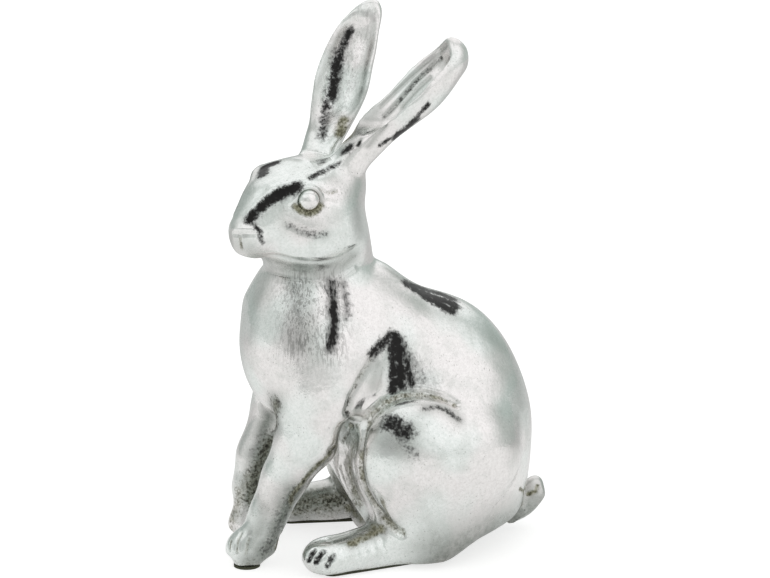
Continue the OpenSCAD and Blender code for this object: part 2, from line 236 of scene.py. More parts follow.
# %% Arrays
place = np.empty(len(shaped.vertices) * 3)
shaped.vertices.foreach_get("co", place)
place = place.reshape(-1, 3)
edges = np.empty(len(shaped.edges) * 2, dtype=np.int64)
shaped.edges.foreach_get("vertices", edges)
edges = edges.reshape(-1, 2)
count = len(place)
ends_a, ends_b = edges[:, 0], edges[:, 1]
neighbours = np.bincount(ends_a, minlength=count) + np.bincount(ends_b, minlength=count)
print("neighbours of a vertex:", neighbours.min(), "to", neighbours.max())

# %% [markdown]
# Relaxing moves each vertex towards the mean of its neighbours, and shrinks the form a little.
# Smoothing puts the slow part of that change back, so that only the bumps go.

# %% Smoothing, normals and soft steps
def around(values):
    """The mean of each vertex's neighbours."""
    sums = [np.bincount(ends_a, column[ends_b], count) + np.bincount(ends_b, column[ends_a], count)
            for column in values.reshape(count, -1).T]
    return (np.stack(sums, 1) / neighbours[:, None]).reshape(values.shape)


def relaxed(values, rounds, share=1.0):
    """Moves each value towards its neighbours' mean, round after round."""
    share = np.broadcast_to(share, (count,))
    share = share.reshape((count,) + (1,) * (values.ndim - 1))
    for _ in range(rounds):
        values = values + 0.5 * share * (around(values) - values)
    return values


def smoothed(values, rounds, share=1.0):
    """Relaxes, then puts back the slow part of the change, so that the form doesn't shrink."""
    moved = relaxed(values, rounds, share)
    return moved - relaxed(moved - values, rounds)


def normals():
    """Each vertex's normal, from the faces round it."""
    shaped.vertices.foreach_set("co", place.ravel())
    shaped.update()
    found = np.empty(count * 3)
    shaped.vertices.foreach_get("normal", found)
    return found.reshape(-1, 3)


def soft_step(values, low, high):
    """0 up to the low value, 1 from the high one, and an even curve between."""
    t = np.clip((values - low) / (high - low), 0, 1)
    return t * t * (3 - 2 * t)


# %% [markdown]
# ## Which casting each vertex belongs to
# The distance to every casting is measured once, before any carving. It cuts the skin at the end,
# and it tells the smoothing where the thin ears and the small paws are.

# %% Distances to the castings
FAR = 20 * MM
BOX_MARGIN = 3 * MM
CASTING_EDGE = (0.3 * MM, 2 * MM)


def distance_to(node):
    """Each vertex's distance from one casting, and FAR away from its box."""
    part = copy_of(node)
    tree = BVHTree.FromBMesh(part)
    part.free()
    low, high = (np.array(corner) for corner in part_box(node))
    found = np.full(count, FAR)
    near = np.all((place > low - BOX_MARGIN) & (place < high + BOX_MARGIN), axis=1)
    for i in np.flatnonzero(near):
        found[i] = tree.find_nearest(place[i])[3]
    return found


from_casting = {name: relaxed(distance_to(name), 3) for name in CASTINGS}
nearest = np.argmin(np.stack([from_casting[name] for name in CASTINGS], 1), 1)
print({name: int((nearest == i).sum()) for i, name in enumerate(CASTINGS)})


def on_casting(name):
    """1 on a casting, falling to 0 at 2 mm from it."""
    return 1 - soft_step(from_casting[name], *CASTING_EDGE)


# %% [markdown]
# The castings are solids with flat facets. Many rounds of smoothing take the facets off, and are
# held back on the thin parts, which would lose their shape.

# %% The castings' facets smoothed away
FACET_ROUNDS = 150
HELD_BACK = {"left_ear": 0.4, "right_ear": 0.4, "tail": 0.5,
             "left_foreleg": 0.2, "right_foreleg": 0.2, "head": 0.3}
thin = np.zeros(count)
for name, strength in HELD_BACK.items():
    thin = np.maximum(thin, strength * (1 - soft_step(from_casting[name], 0, BOX_MARGIN)))
thin = relaxed(thin, 20)
before = place
place = smoothed(place, FACET_ROUNDS, 1 - thin)
place[:, 2] = np.maximum(place[:, 2], sole_z)
print("smoothing moved the skin by up to", round(float(np.abs(place - before).max() / MM), 2), "mm")

# %% [markdown]
# ## Carving
# A carver works along lines: a groove has a path, a width and a depth, and a ridge is the same
# with the depth turned over. The paths are drawn in pixels of the photograph and dropped onto the
# skin along the camera's rays, so they lie on the real surface from every side.

# %% Paths on the skin
squares = [tuple(p.vertices) for p in shaped.polygons]


def fresh_skin():
    """The skin's tree and normals after a change of form."""
    return BVHTree.FromPolygons([Vector(p) for p in place], squares), normals()


def on_skin(path):
    """Drops pixels of the photograph onto the skin; one that misses takes the nearest place."""
    found = []
    for x, y in path:
        hit = skin_tree.ray_cast(eye_point, sight(x, y))[0]
        if hit is None:
            hit = skin_tree.find_nearest(eye_point + sight(x, y) * CAMERA_FAR)[0]
        found.append(np.array(hit))
    return np.array(found)


# %% [markdown]
# What the photograph hides is the mirror image of what it shows. The body mirrors across its
# middle, the head across its own middle, which is turned, and the right paw is set back.

# %% Mirror images
HEAD_TURN = math.radians(20)
head_left = np.array([math.cos(HEAD_TURN), math.sin(HEAD_TURN), 0])
head_front = np.array([math.sin(HEAD_TURN), -math.cos(HEAD_TURN), 0])
eyes = {side: np.array(box_middle(side + "_eye")) for side in ("left", "right")}
head_middle = (eyes["left"] + eyes["right"]) / 2
paw_stagger = box_middle("right_fore_pad").y - box_middle("left_fore_pad").y
print("the right paw is set back by", round(paw_stagger / MM, 1), "mm")


def same(points):
    """No mirror image."""
    return points


def other_side(points):
    """The mirror image across the body."""
    return points * [-1, 1, 1]


def other_paw(points):
    """The mirror image on the right paw, which is set back."""
    return points * [-1, 1, 1] + [0, paw_stagger, 0]


def other_cheek(points):
    """The mirror image across the turned head."""
    return points - 2 * ((points - head_middle) @ head_left)[:, None] * head_left


def both(path, also):
    """A path on the skin, and its mirror image where it has one."""
    first = on_skin(path)
    return [first] if also is same else [first, also(first)]


# %% [markdown]
# Carving and painting share one measure: how near the skin lies to a path. Skin that faces
# another way is left out, or a stroke on a thin ear would come out on its other side. The painted
# layers are kept as numbers on the skin, which the finish reads later: painted dark reflections
# and painted shade in a dark layer, an olive wash with some painted shade, painted shade in a
# grey layer, and scratches.

# %% Grooves, ridges and washes
# layers in order: painted dark reflections and shade, olive wash and shade, painted shade, scratches
dark_reflection_and_shade, olive, painted_shade, scratched = np.zeros((4, count))
layers = {"painted_reflection_and_shade": dark_reflection_and_shade, "olive_wash": olive, "painted_shade": painted_shade, "scratched": scratched}


def from_path(points):
    """Each vertex's distance from a chain of points, and FAR where it is further."""
    found = np.full(count, FAR)
    low, high = points.min(0) - FAR, points.max(0) + FAR
    near = np.flatnonzero(np.all((place > low) & (place < high), axis=1))
    for a, b in zip(points[:-1], points[1:]):
        step = b - a
        along = np.clip((place[near] - a) @ step / (step @ step), 0, 1)
        away = np.linalg.norm(place[near] - a - along[:, None] * step, axis=1)
        found[near] = np.minimum(found[near], away)
    return found


def near_path(points, width):
    """1 on a path, falling off over a width in millimetres, on skin that faces as the path does."""
    ways = np.array([skin_tree.find_nearest(Vector(p))[1] for p in points])
    facing = soft_step(skin_normals @ ways.mean(0), 0.0, 0.3)
    return np.exp(-(from_path(points) / (width * MM)) ** 2) * facing


def carve(path, width, depth, also=same):
    """Sinks a groove of a width and a depth in millimetres; a negative depth raises a ridge."""
    global place
    for points in both(path, also):
        place = place - skin_normals * (near_path(points, width) * depth * MM)[:, None]


def paint(layer, path, width, strength=1.0, also=same):
    """Paints a layer along a path, whether wash, painted shade or painted reflection, and keeps the
    stronger of it and what is there.
    """
    for points in both(path, also):
        layer[:] = np.maximum(layer, strength * near_path(points, width))


def tell_painted_layers(where):
    """Prints how many vertices each painted layer covers so far."""
    print("after", where, {name: int((layer > 0.3).sum()) for name, layer in layers.items()})


# %% [markdown]
# Melting relaxes the skin in one place only, as a thumb does in wax. It works on the vertices in
# that place alone, which is many times faster than relaxing the whole skin.

# %% Melting
def settled(values, pairs, share, rounds):
    """Relaxes some vertices, joined by pairs, by a share in each round."""
    near_a, near_b = pairs
    size = len(values)
    degree = np.bincount(near_a, minlength=size) + np.bincount(near_b, minlength=size)
    degree = np.maximum(degree, 1)[:, None]
    for _ in range(rounds):
        sums = [np.bincount(near_a, column[near_b], size) + np.bincount(near_b, column[near_a], size)
                for column in values.T]
        values = values + share * (np.stack(sums, 1) / degree - values)
    return values


def melt(share, rounds, keep_form=False):
    """Relaxes the skin where a share is set; keeping the form puts back the slow part."""
    here = np.flatnonzero(share > 0.02)
    number = np.full(count, -1)
    number[here] = np.arange(len(here))
    pairs = number[edges.T]
    pairs = pairs[:, (pairs >= 0).all(0)]
    moved = settled(place[here], pairs, 0.5 * share[here, None], rounds)
    if keep_form:
        moved = moved - settled(moved - place[here], pairs, 0.5, rounds)
    place[here] = moved


def soften(path, width, rounds, also=same):
    """Melts the form round a path."""
    for points in both(path, also):
        melt(np.exp(-(from_path(points) / (width * MM)) ** 2), rounds)


# %% [markdown]
# ### Large forms
# The castings are a few millimetres off the photograph in places: the ears lean and swell a
# little differently, the far foreleg is bowed, the paws are narrower, the rump lifts at the back
# and the belly rises in front of it. These moves come first, because the fine lines are laid on
# top of them. Each ear is measured along its own length, from 0 at its root to 1 at its tip. A
# pair of numbers says where a change begins and where it is whole.

# %% The near ear
NEAR_EAR_ROOT, NEAR_EAR_TIP = (372, 150), (458, 40)
UNDERSIDE_DROP, ROOT_LIFT, TIP_DRAWN_IN = 4.4 * MM, 2.6 * MM, 2.7 * MM
TIP_SPREAD, TIP_EASE, UPPER_SIDE_SHARE = 0.3, 0.25, 0.12
# along the ear as shares of its length, then across it and off it as lengths
DROP_ALONG, EASE_ALONG, SPREAD_ALONG, DRAW_ALONG = (0.1, 0.6), (0.85, 1.05), (0.82, 0.98), (0.6, 1)
ROOT_BEGINS, ROOT_ENDS = (-0.02, 0.1), (0.16, 0.42)
EAR_ACROSS, UPPER_HALF, EAR_EDGE = (-9 * MM, 8 * MM), (0, 8 * MM), (0.2 * MM, 1.5 * MM)


def ear_frame(root_pixel, tip_pixel, casting):
    """How far each vertex lies along and across an ear as the camera sees it, and whether on it."""
    root, tip = (np.array(eye_point + sight(x, y) * CAMERA_FAR) for x, y in (root_pixel, tip_pixel))
    length = np.linalg.norm(tip - root)
    way = (tip - root) / length
    under = np.cross(way, np.array(to_camera))
    on_ear = 1 - soft_step(from_casting[casting], *EAR_EDGE)
    return way, under, on_ear, (place - root) @ way / length, (place - root) @ under


way, under, on_ear, along, across = ear_frame(NEAR_EAR_ROOT, NEAR_EAR_TIP, "left_ear")
by_side = UPPER_SIDE_SHARE + (1 - UPPER_SIDE_SHARE) * soft_step(across, *EAR_ACROSS)
drop = UNDERSIDE_DROP * soft_step(along, *DROP_ALONG) * by_side
drop *= 1 - TIP_EASE * soft_step(along, *EASE_ALONG)
by_root = soft_step(along, *ROOT_BEGINS) * (1 - soft_step(along, *ROOT_ENDS))
drop -= ROOT_LIFT * soft_step(-across, *UPPER_HALF) * by_root
drop += TIP_SPREAD * across * soft_step(along, *SPREAD_ALONG)
draw_in = TIP_DRAWN_IN * soft_step(along, *DRAW_ALONG)
place = place + (under * drop[:, None] - way * draw_in[:, None]) * on_ear[:, None]
print("near ear dropped by up to", round(float((drop * on_ear).max() / MM), 1), "mm")

# %% The far ear
FAR_EAR_ROOT, FAR_EAR_TIP = (328, 150), (370, 2)
WAIST_SHIFT, REAR_SHIFT, REAR_KEPT = 1.1, 2.4, 0.8
WAIST_BEGINS, WAIST_ENDS, REAR_ALONG = (0.12, 0.45), (0.8, 1.02), (0.36, 0.66)
REAR_ACROSS, BY_EARS = (-8 * MM, 8 * MM), (0.3 * MM, 3 * MM)
EAR_MELT, EAR_MELT_ROUNDS = 0.95, 110
way, under, on_ear, along, across = ear_frame(FAR_EAR_ROOT, FAR_EAR_TIP, "right_ear")
waist = soft_step(along, *WAIST_BEGINS) * (1 - soft_step(along, *WAIST_ENDS))
rear = soft_step(across, *REAR_ACROSS)
shift = waist * (WAIST_SHIFT + rear * (REAR_SHIFT * soft_step(along, *REAR_ALONG) - REAR_KEPT)) * MM
place = place - under * (shift * on_ear)[:, None]
from_ears = np.minimum(from_casting["left_ear"], from_casting["right_ear"])
melt(EAR_MELT * (1 - soft_step(from_ears, *BY_EARS)), EAR_MELT_ROUNDS, keep_form=True)
print("far ear shifted by up to", round(float((shift * on_ear).max() / MM), 1), "mm")

# %% [markdown]
# The far foreleg is set forwards between its paw and its shoulder. The paws and the rump have
# lower outlines that can be read in the photograph, so the skin is raised to those lines.

# %% The far foreleg
FAR_LEG_FORWARD = 3.4 * MM
FAR_LEG_BEGINS, FAR_LEG_ENDS = (8 * MM, 26 * MM), (38 * MM, 58 * MM)
tall = place[:, 2]
far_leg = on_casting("right_foreleg") * soft_step(tall, *FAR_LEG_BEGINS)
far_leg *= 1 - soft_step(tall, *FAR_LEG_ENDS)
place[:, 1] -= FAR_LEG_FORWARD * far_leg
print("far foreleg moved on", int((far_leg > 0.5).sum()), "vertices")

# %% Heights from the lower outline
RUMP_LINE = [(400, 563), (430, 559), (446, 556), (462, 550), (478, 542), (494, 534), (510, 525.5),
             (526, 514), (545, 500)]
PAW_LINE = [(215, 552), (230, 558), (243, 562), (256, 562), (267, 560), (278, 556), (290, 551)]


def raised_to(line, x, y, z, blend):
    """Heights raised to a line of the photograph's lower outline, with a soft change over."""
    across = x * to_right.x + (y - aim.y) * to_right.y
    line_x, line_y = np.array(line).T
    seen_y = np.interp(PHOTO_W / 2 + across / MM * PX_PER_MM, line_x, line_y)
    up = (PHOTO_H / 2 - seen_y) / PX_PER_MM * MM
    least = aim.z + (up - x * to_top.x - (y - aim.y) * to_top.y) / to_top.z
    over = z - least
    return np.maximum(least + 0.5 * (over + np.sqrt(over ** 2 + blend ** 2)), z)


# %% [markdown]
# The pads under the paws stay where they are, so each paw is shaped round its pad: its outer side
# and its toes are drawn in, its edge is rounded, and its rear is raised to the outline.

# %% The paws
SIDE_DRAWN_IN, TOE_DRAWN_IN = 0.3, 0.3
SOLE_EDGE_LIFT, PAW_LIFT_MOST, PAW_BLEND = 1.2 * MM, 4 * MM, 2 * MM
BEHIND_PAD, TOE_BEGINS, PAW_TOP, PAW_MELT_TOP = 15 * MM, 4 * MM, 30 * MM, 22 * MM
SIDE_TALL, TOE_TALL, SOLE_TALL = (10 * MM, 24 * MM), (14 * MM, 26 * MM), (0, 6 * MM)
SOLE_EDGE, OFF_PAD = (6 * MM, 10 * MM), (5.5 * MM, 9 * MM)
PAW_MELT, PAW_MELT_ROUNDS = 0.8, 25
for side, sign in (("left", 1), ("right", -1)):
    pad = np.array(box_middle(side + "_fore_pad"))
    on_paw = on_casting(side + "_foreleg") * (place[:, 1] < pad[1] + BEHIND_PAD)
    outer = np.maximum(sign * (place[:, 0] - pad[0]), 0)
    place[:, 0] -= sign * outer * SIDE_DRAWN_IN * on_paw * (1 - soft_step(tall, *SIDE_TALL))
    from_pad = np.linalg.norm(place[:, :2] - pad[:2], axis=1)
    edge_lift = soft_step(from_pad, *SOLE_EDGE) * (1 - soft_step(tall - sole_z, *SOLE_TALL))
    place[:, 2] += SOLE_EDGE_LIFT * edge_lift * on_paw
    set_back = 0 if side == "left" else paw_stagger
    high = raised_to(PAW_LINE, sign * place[:, 0], place[:, 1] - set_back, place[:, 2], PAW_BLEND)
    off_pad = soft_step(from_pad, *OFF_PAD) * (tall < PAW_TOP)
    place[:, 2] += np.minimum(high - place[:, 2], PAW_LIFT_MOST) * off_pad * on_paw
    toe_front = np.maximum(pad[1] - TOE_BEGINS - place[:, 1], 0) * (1 - soft_step(tall, *TOE_TALL))
    place[:, 1] += TOE_DRAWN_IN * toe_front * on_paw
    melt(PAW_MELT * on_paw * off_pad * (tall < PAW_MELT_TOP), PAW_MELT_ROUNDS)
    print(side, "toes drawn in by up to", round(float(TOE_DRAWN_IN * toe_front.max() / MM), 1), "mm")

# %% [markdown]
# The rump is raised round its ring pad, and the tail is made fuller.

# %% The rump and the tail
TAIL_FULLER, TAIL_LOWER = 1.2, 0.6
BEHIND, OFF_TAIL, OFF_RING = (16 * MM, 32 * MM), (0, 4 * MM), (22 * MM, 29 * MM)
RUMP_TOP, RUMP_BLEND = 60 * MM, 3 * MM
RUMP_MELT_TALL, RUMP_MELT_ROUNDS = (14 * MM, 30 * MM), 60
ring = np.array(box_middle("rump_pad"))
behind = soft_step(place[:, 1], *BEHIND) * soft_step(from_casting["tail"], *OFF_TAIL)
from_ring = np.linalg.norm(place[:, :2] - ring[:2], axis=1)
behind *= soft_step(from_ring, *OFF_RING) * (tall < RUMP_TOP)
high = raised_to(RUMP_LINE, np.abs(place[:, 0]), place[:, 1], place[:, 2], RUMP_BLEND)
print("rump raised by up to", round(float(((high - place[:, 2]) * behind).max() / MM), 1), "mm")
place[:, 2] += (high - place[:, 2]) * behind
melt(behind * (1 - soft_step(place[:, 2], *RUMP_MELT_TALL)), RUMP_MELT_ROUNDS)
on_tail = on_casting("tail")[:, None]
place = place + (normals() * TAIL_FULLER - [0, 0, TAIL_LOWER]) * MM * on_tail

# %% [markdown]
# The far hind foot shows through the gap between the forelegs and the haunch, so the front of the
# belly is pushed back until the camera sees past it.

# %% The belly
BELLY_FRONT, BELLY_LOW, BELLY_SLOPE = -5.3 * MM, 12.8 * MM, 0.75
SLOPE_STOPS, BELLY_SIDES, BELLY_TALL = -2 * MM, (20 * MM, 30 * MM), (36 * MM, 44 * MM)
BELLY_ROUNDS = 12
wanted = BELLY_FRONT - np.maximum(place[:, 2] - BELLY_LOW, SLOPE_STOPS) * BELLY_SLOPE
ahead = np.abs(place[:, 0]) * to_right.x + (place[:, 1] - aim.y) * to_right.y
middle = 1 - soft_step(np.abs(place[:, 0]), *BELLY_SIDES)
middle = middle * (1 - soft_step(place[:, 2], *BELLY_TALL))
push = np.maximum(wanted - ahead, 0) * middle * on_casting("torso_shell") * (place[:, 1] < 0)
place[:, 1] += relaxed(push, BELLY_ROUNDS)
place[:, 2] = np.maximum(place[:, 2], sole_z)
print("belly pushed back by up to", round(float(push.max() / MM), 1), "mm")

# %% [markdown]
# Where castings meet, the photograph shows soft hollows: between the foreleg and the belly, above
# the haunch, and at the nape. The throat, the chin and the rump are a little fuller.

# %% Softened and filled places
FORK = [(326, 446), (338, 436), (350, 429), (357, 420), (362, 412)]
NAPE = [(364, 236), (369, 252), (380, 266)]
NAPE_LINE = [(362, 226), (368, 250), (383, 267), (398, 276)]
RUMP_CREASE = [(455, 403), (475, 402), (494, 408), (508, 424)]
THROAT = [(257, 268), (251, 282), (247, 294)]
CHIN = [(231, 245), (241, 251), (254, 255)]
RUMP_CURVE = [(514, 350), (525, 380), (529, 410)]

skin_tree, skin_normals = fresh_skin()
soften(FORK, 6.5, 160, other_side)
soften(RUMP_CREASE, 9, 120, other_side)
skin_tree, skin_normals = fresh_skin()
carve(NAPE, 9, -2.4)
soften(NAPE_LINE, 8, 90)
carve(THROAT, 8, -2.0)
carve(CHIN, 5, -1.4)
carve(RUMP_CURVE, 12, -0.6)
place[:, 1] = np.minimum(place[:, 1], cad_box[1].y)
skin_tree, skin_normals = fresh_skin()
print("no further back than", round(float(place[:, 1].max() / MM), 1), "mm")

# %% [markdown]
# ### The eyes
# Each eye is a bead in a socket. The lids are a low ring round it, higher above than below, and
# the skin inside the ring is pushed back behind the bead, so that the bead comes through it.

# %% Sockets and lids
eye_low, eye_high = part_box("left_eye")
eye_r = (eye_high.x - eye_low.x) / 2
LID_RISE, LID_REACH, FOLD_DEPTH, FOLD_REACH = 0.9 * MM, 1.0 * MM, 0.5 * MM, 0.8 * MM
LID_AT, FOLD_AT = 1.22 * eye_r, 1.62 * eye_r
LOWER_LID_SHARE, LID_BLEND, LOOKS_FORWARD = 0.6, 3 * MM, 0.25
HOLE_MARGIN, HOLE_DEPTH_SHARE = 0.5 * MM, 0.5
hole_rim = eye_r - HOLE_MARGIN
for side, sign in (("left", 1), ("right", -1)):
    outward = sign * head_left + LOOKS_FORWARD * head_front
    outward = outward / np.linalg.norm(outward)
    away = place - eyes[side]
    far = np.linalg.norm(away, axis=1)
    upper = soft_step(away[:, 2], -LID_BLEND, LID_BLEND)
    higher = LOWER_LID_SHARE + (1 - LOWER_LID_SHARE) * upper
    lid = LID_RISE * higher * np.exp(-((far - LID_AT) / LID_REACH) ** 2)
    fold = -FOLD_DEPTH * upper * np.exp(-((far - FOLD_AT) / FOLD_REACH) ** 2)
    on_side = away @ outward > -eye_r
    place = place + skin_normals * ((lid + fold) * on_side)[:, None]
    away = place - eyes[side]
    deep = away @ outward
    flat = np.linalg.norm(away - deep[:, None] * outward, axis=1)
    inside = (flat < hole_rim) & (np.abs(deep) < 2 * eye_r)
    floor_at = np.sqrt(np.maximum(hole_rim ** 2 - flat ** 2, 0)) * HOLE_DEPTH_SHARE
    place = place + (np.where(inside, np.minimum(floor_at - deep, 0), 0))[:, None] * outward
    print(side, "socket:", int(inside.sum()), "vertices behind the bead")

# %% Lines round the eyes
UPPER_CORNER = [(321, 190), (328, 194), (337, 191)]
LOWER_CORNER = [(321, 204), (328, 201), (337, 204)]
FRONT_CORNER = [(297, 202), (290, 207)]
BELOW_EYE = [(296, 206), (301, 211), (308, 213.5), (315, 211.5), (320, 206)]
EYE_RING = [(298, 201), (300, 194), (306, 190.5), (313, 190.5), (319, 195), (320, 202)]
carve(UPPER_CORNER, 0.8, 0.5, other_cheek)
carve(LOWER_CORNER, 0.8, 0.35, other_cheek)
carve(FRONT_CORNER, 0.8, 0.4, other_cheek)
# olive wash below the eye, painted shade in the crease under it, and a ring of painted shade round the
# lids
paint(olive, BELOW_EYE, 1.7, 1.0, other_cheek)
paint(olive, UPPER_CORNER, 0.9, 0.6, other_cheek)
paint(dark_reflection_and_shade, BELOW_EYE[1:4], 0.7, 0.6, other_cheek)
paint(painted_shade, EYE_RING, 1.6, 1.0, other_cheek)
tell_painted_layers("the eyes")

# %% [markdown]
# ### The muzzle, the jaw and the neck
# The forehead and the side of the muzzle are two planes that meet in a soft edge, and the nose
# has a flat band across it. The jaw and the neck seam are shallow. The dark streak down the side
# of the muzzle and the spot on the brow are painted dark reflections, and the grey under the jaw,
# at the mouth, at the nose tip and in the folds is painted shade.

# %% Paths on the head
MUZZLE_EDGE = [(306, 181), (290, 184), (273, 189), (259, 203), (246, 217)]
MUZZLE_SIDE = [(299, 188), (284, 195), (270, 202), (259, 211), (249, 221)]
MUZZLE_MIDDLE = [(299, 186), (287, 190), (274, 196), (262, 206), (250, 219)]
BROW_EDGE = [(263, 167), (273, 163), (288, 160), (299, 161)]
BROW_SPOT = [(262.5, 175), (263.5, 169), (268, 166), (275, 163.5)]
BROW_FOLD = [(310, 178), (320, 173), (330, 167), (338, 163)]
NOSTRIL = [(255, 227), (260.5, 231), (259.7, 238), (262.5, 243)]
NOSE_BAND, NOSE_UNDER = [(235, 229), (246, 228.5), (256, 229.5)], [(234, 233.5), (246, 234), (257, 234)]
LIP_SPLIT = [(239.5, 235), (240.5, 243), (242, 250)]
MOUTH = [(254, 255), (268, 255.4), (283, 256.6), (295, 259.7), (311, 261.5), (325, 261), (341, 257),
         (354, 249)]
NOSE_TIP = [(231, 240), (240, 246), (250, 250)]
CHEEK_FOLD = [(288, 225), (300, 230.5), (313, 234.5), (325, 234.5)]
NECK_SEAM = [(261, 266), (278, 278), (295, 283.5), (314, 285), (335, 281.5), (354, 269)]
JAW_LOW = [(262, 258), (280, 262.5), (298, 265.5), (316, 267), (334, 264), (351, 254)]
UNDER_JAW = [(256, 258), (272, 266), (292, 272), (314, 273), (334, 270), (352, 257)]

# %% The head carved and rubbed
carve(MUZZLE_EDGE, 1.8, -0.55, other_cheek)
carve(MUZZLE_SIDE, 3.2, 0.5, other_cheek)
# painted dark reflection down the side of the muzzle
paint(dark_reflection_and_shade, MUZZLE_SIDE, 2.3, 0.85, other_cheek)
paint(dark_reflection_and_shade, MUZZLE_MIDDLE, 2.6, 1.0, other_cheek)
carve(BROW_EDGE, 1.1, -0.5)
# painted dark reflection on the brow with painted shade round it, and painted shade on its edge
paint(dark_reflection_and_shade, BROW_SPOT, 3.0, 1.1)
paint(painted_shade, BROW_SPOT, 5.0, 0.5)
paint(painted_shade, BROW_EDGE, 1.4, 0.75)
carve(BROW_FOLD, 1.2, 0.45, other_cheek)
# painted shade in the brow fold
paint(dark_reflection_and_shade, BROW_FOLD, 1.6, 0.75, other_cheek)
carve(NOSTRIL, 0.8, 0.9, other_cheek)
# painted shade in the nostril
paint(dark_reflection_and_shade, NOSTRIL, 1.2, 1.0, other_cheek)
carve(NOSE_BAND, 1.1, -0.5)
carve(NOSE_UNDER, 1.0, 0.55)
carve(LIP_SPLIT, 0.7, 0.6)
paint(olive, LIP_SPLIT, 0.8, 0.7)
carve(MOUTH, 1.5, 0.5, other_cheek)
# painted shade along the mouth
paint(painted_shade, MOUTH, 1.3, 0.5, other_cheek)
carve(CHEEK_FOLD, 1.4, 0.3, other_cheek)
# painted shade in the cheek fold and under the nose tip
paint(dark_reflection_and_shade, CHEEK_FOLD, 2.2, 0.45, other_cheek)
paint(painted_shade, CHEEK_FOLD, 3.2, 0.35, other_cheek)
paint(painted_shade, NOSE_TIP, 4.0, 0.35)
carve(NECK_SEAM, 1.2, -0.5)
# painted shade under the jaw
paint(painted_shade, UNDER_JAW, 4.8, 0.62)
paint(painted_shade, JAW_LOW, 3.4, 0.58)
tell_painted_layers("the head")

# %% [markdown]
# ### The shoulder, the flank and the haunch
# The haunch is a disc with a deep groove round its front and top, and the groove fades out where
# the haunch runs into the rump. The flank in front of it is hollow, with a painted dark reflection
# and painted shade in it, and the groove and the flank carry olive wash and painted shade.

# %% Paths on the shoulder and the haunch
HAUNCH = [(402, 534), (386, 521), (374, 505), (364, 487), (360, 468), (360.5, 452), (364, 431),
          (372, 415), (385, 403), (403, 395.5), (424, 394), (441, 397.5), (456, 404)]
HAUNCH_BROW = [(366, 408), (380, 396), (402, 388.5), (424, 387.5), (444, 392)]
HAUNCH_SWELL = [(385, 418), (400, 408.5), (418, 406), (434, 411)]
HAUNCH_ARC = [(425, 409.5), (437, 407.5), (448, 411.5), (459, 420)]
SHOULDER = [(392, 334), (382, 345), (374, 355), (362, 376), (351, 397), (347, 412), (350, 427)]
ELBOW = [(350, 427), (343, 440), (331, 451)]
FLANK_HOLLOW = [(397, 345), (393, 365), (392, 388)]
TRIANGLE_LEFT = [(373, 354), (383, 343), (393, 335)]
TRIANGLE_FRONT = [(395, 336), (393.5, 350), (394, 366), (393, 391)]
TRIANGLE_RAYS = [
    ([(398, 339), (400, 358), (401, 386)], 3.2, 0.95),
    ([(401, 341), (407, 362), (411, 384)], 3.4, 0.75),
    ([(404, 345), (415, 366), (422, 382)], 3.4, 0.5),
    ([(408, 350), (422, 370), (433, 385)], 3.6, 0.3),
]
FOLD_SHADE = [(385, 351), (380, 366), (374, 386)]
FOLD_LIGHT = [(382, 362), (377, 376), (374, 392)]
HAUNCH_SPOT = [(390, 423), (397, 426), (405, 432)]
HAUNCH_FADE = [(397, 436), (406, 444), (415, 453)]
HAUNCH_SHADE = [(381, 430), (390, 438), (400, 448)]
GROOVE_DARK = [(389, 399), (410, 393.5), (435, 395)]
FLANK_LINES = [[(354, 454), (350, 468), (357, 496)], [(349, 450), (343, 464), (350, 486)],
               [(344, 454), (339, 468), (347, 490), (362, 512)]]
FLANK_MIDDLE = [(355, 446), (350, 468), (357, 500)]
FLANK_LOW = [(348, 508), (360, 518), (374, 528)]
FLANK_EDGE = [(362, 470), (367, 492), (378, 510), (392, 524)]

# %% The shoulder and the haunch carved and rubbed
carve(HAUNCH, 1.9, 1.7, other_side)
carve(HAUNCH_BROW, 1.5, -0.6, other_side)
carve(HAUNCH_SWELL, 4.0, -0.7, other_side)
paint(olive, HAUNCH[:6], 1.9, 0.95, other_side)
paint(olive, HAUNCH[5:], 1.2, 0.6, other_side)
# painted shade in the haunch groove
paint(dark_reflection_and_shade, GROOVE_DARK, 0.7, 0.5, other_side)
carve(SHOULDER, 1.7, 1.1, other_side)
carve(ELBOW, 1.5, 1.0, other_side)
paint(olive, SHOULDER[3:], 1.3, 0.45, other_side)
# painted shade down the shoulder groove and at the elbow
paint(dark_reflection_and_shade, SHOULDER[3:] + ELBOW[1:], 1.2, 0.65, other_side)
paint(painted_shade, SHOULDER[2:], 2.4, 0.6, other_side)
carve(FLANK_HOLLOW, 5.0, 1.0, other_side)
carve(FOLD_LIGHT, 2.2, -0.8, other_side)
# painted dark reflection in the flank hollow, running in rays towards the haunch
paint(dark_reflection_and_shade, TRIANGLE_LEFT, 2.8, 0.95, other_side)
paint(dark_reflection_and_shade, TRIANGLE_FRONT, 2.6, 1.0, other_side)
for ray, width, strength in TRIANGLE_RAYS:
    paint(dark_reflection_and_shade, ray, width, strength, other_side)
    paint(scratched, ray, 5, 0.4, other_side)
# painted shade in the fold
paint(painted_shade, FOLD_SHADE, 3.6, 0.5, other_side)
# painted dark reflection and painted shade on the haunch
paint(dark_reflection_and_shade, HAUNCH_ARC, 1.6, 0.62, other_side)
paint(painted_shade, HAUNCH_ARC, 3.0, 0.6, other_side)
paint(dark_reflection_and_shade, HAUNCH_SPOT, 5.0, 0.85, other_side)
paint(painted_shade, HAUNCH_SPOT, 5.0, 0.6, other_side)
# painted shade at the elbow and below the haunch
paint(painted_shade, SHOULDER[5:] + ELBOW[1:], 3.0, 0.5, other_side)
paint(dark_reflection_and_shade, HAUNCH_FADE, 4.0, 0.42, other_side)
paint(painted_shade, HAUNCH_SHADE, 6.5, 0.5, other_side)
for line in FLANK_LINES:
    carve(line, 1.3, 0.25, other_side)
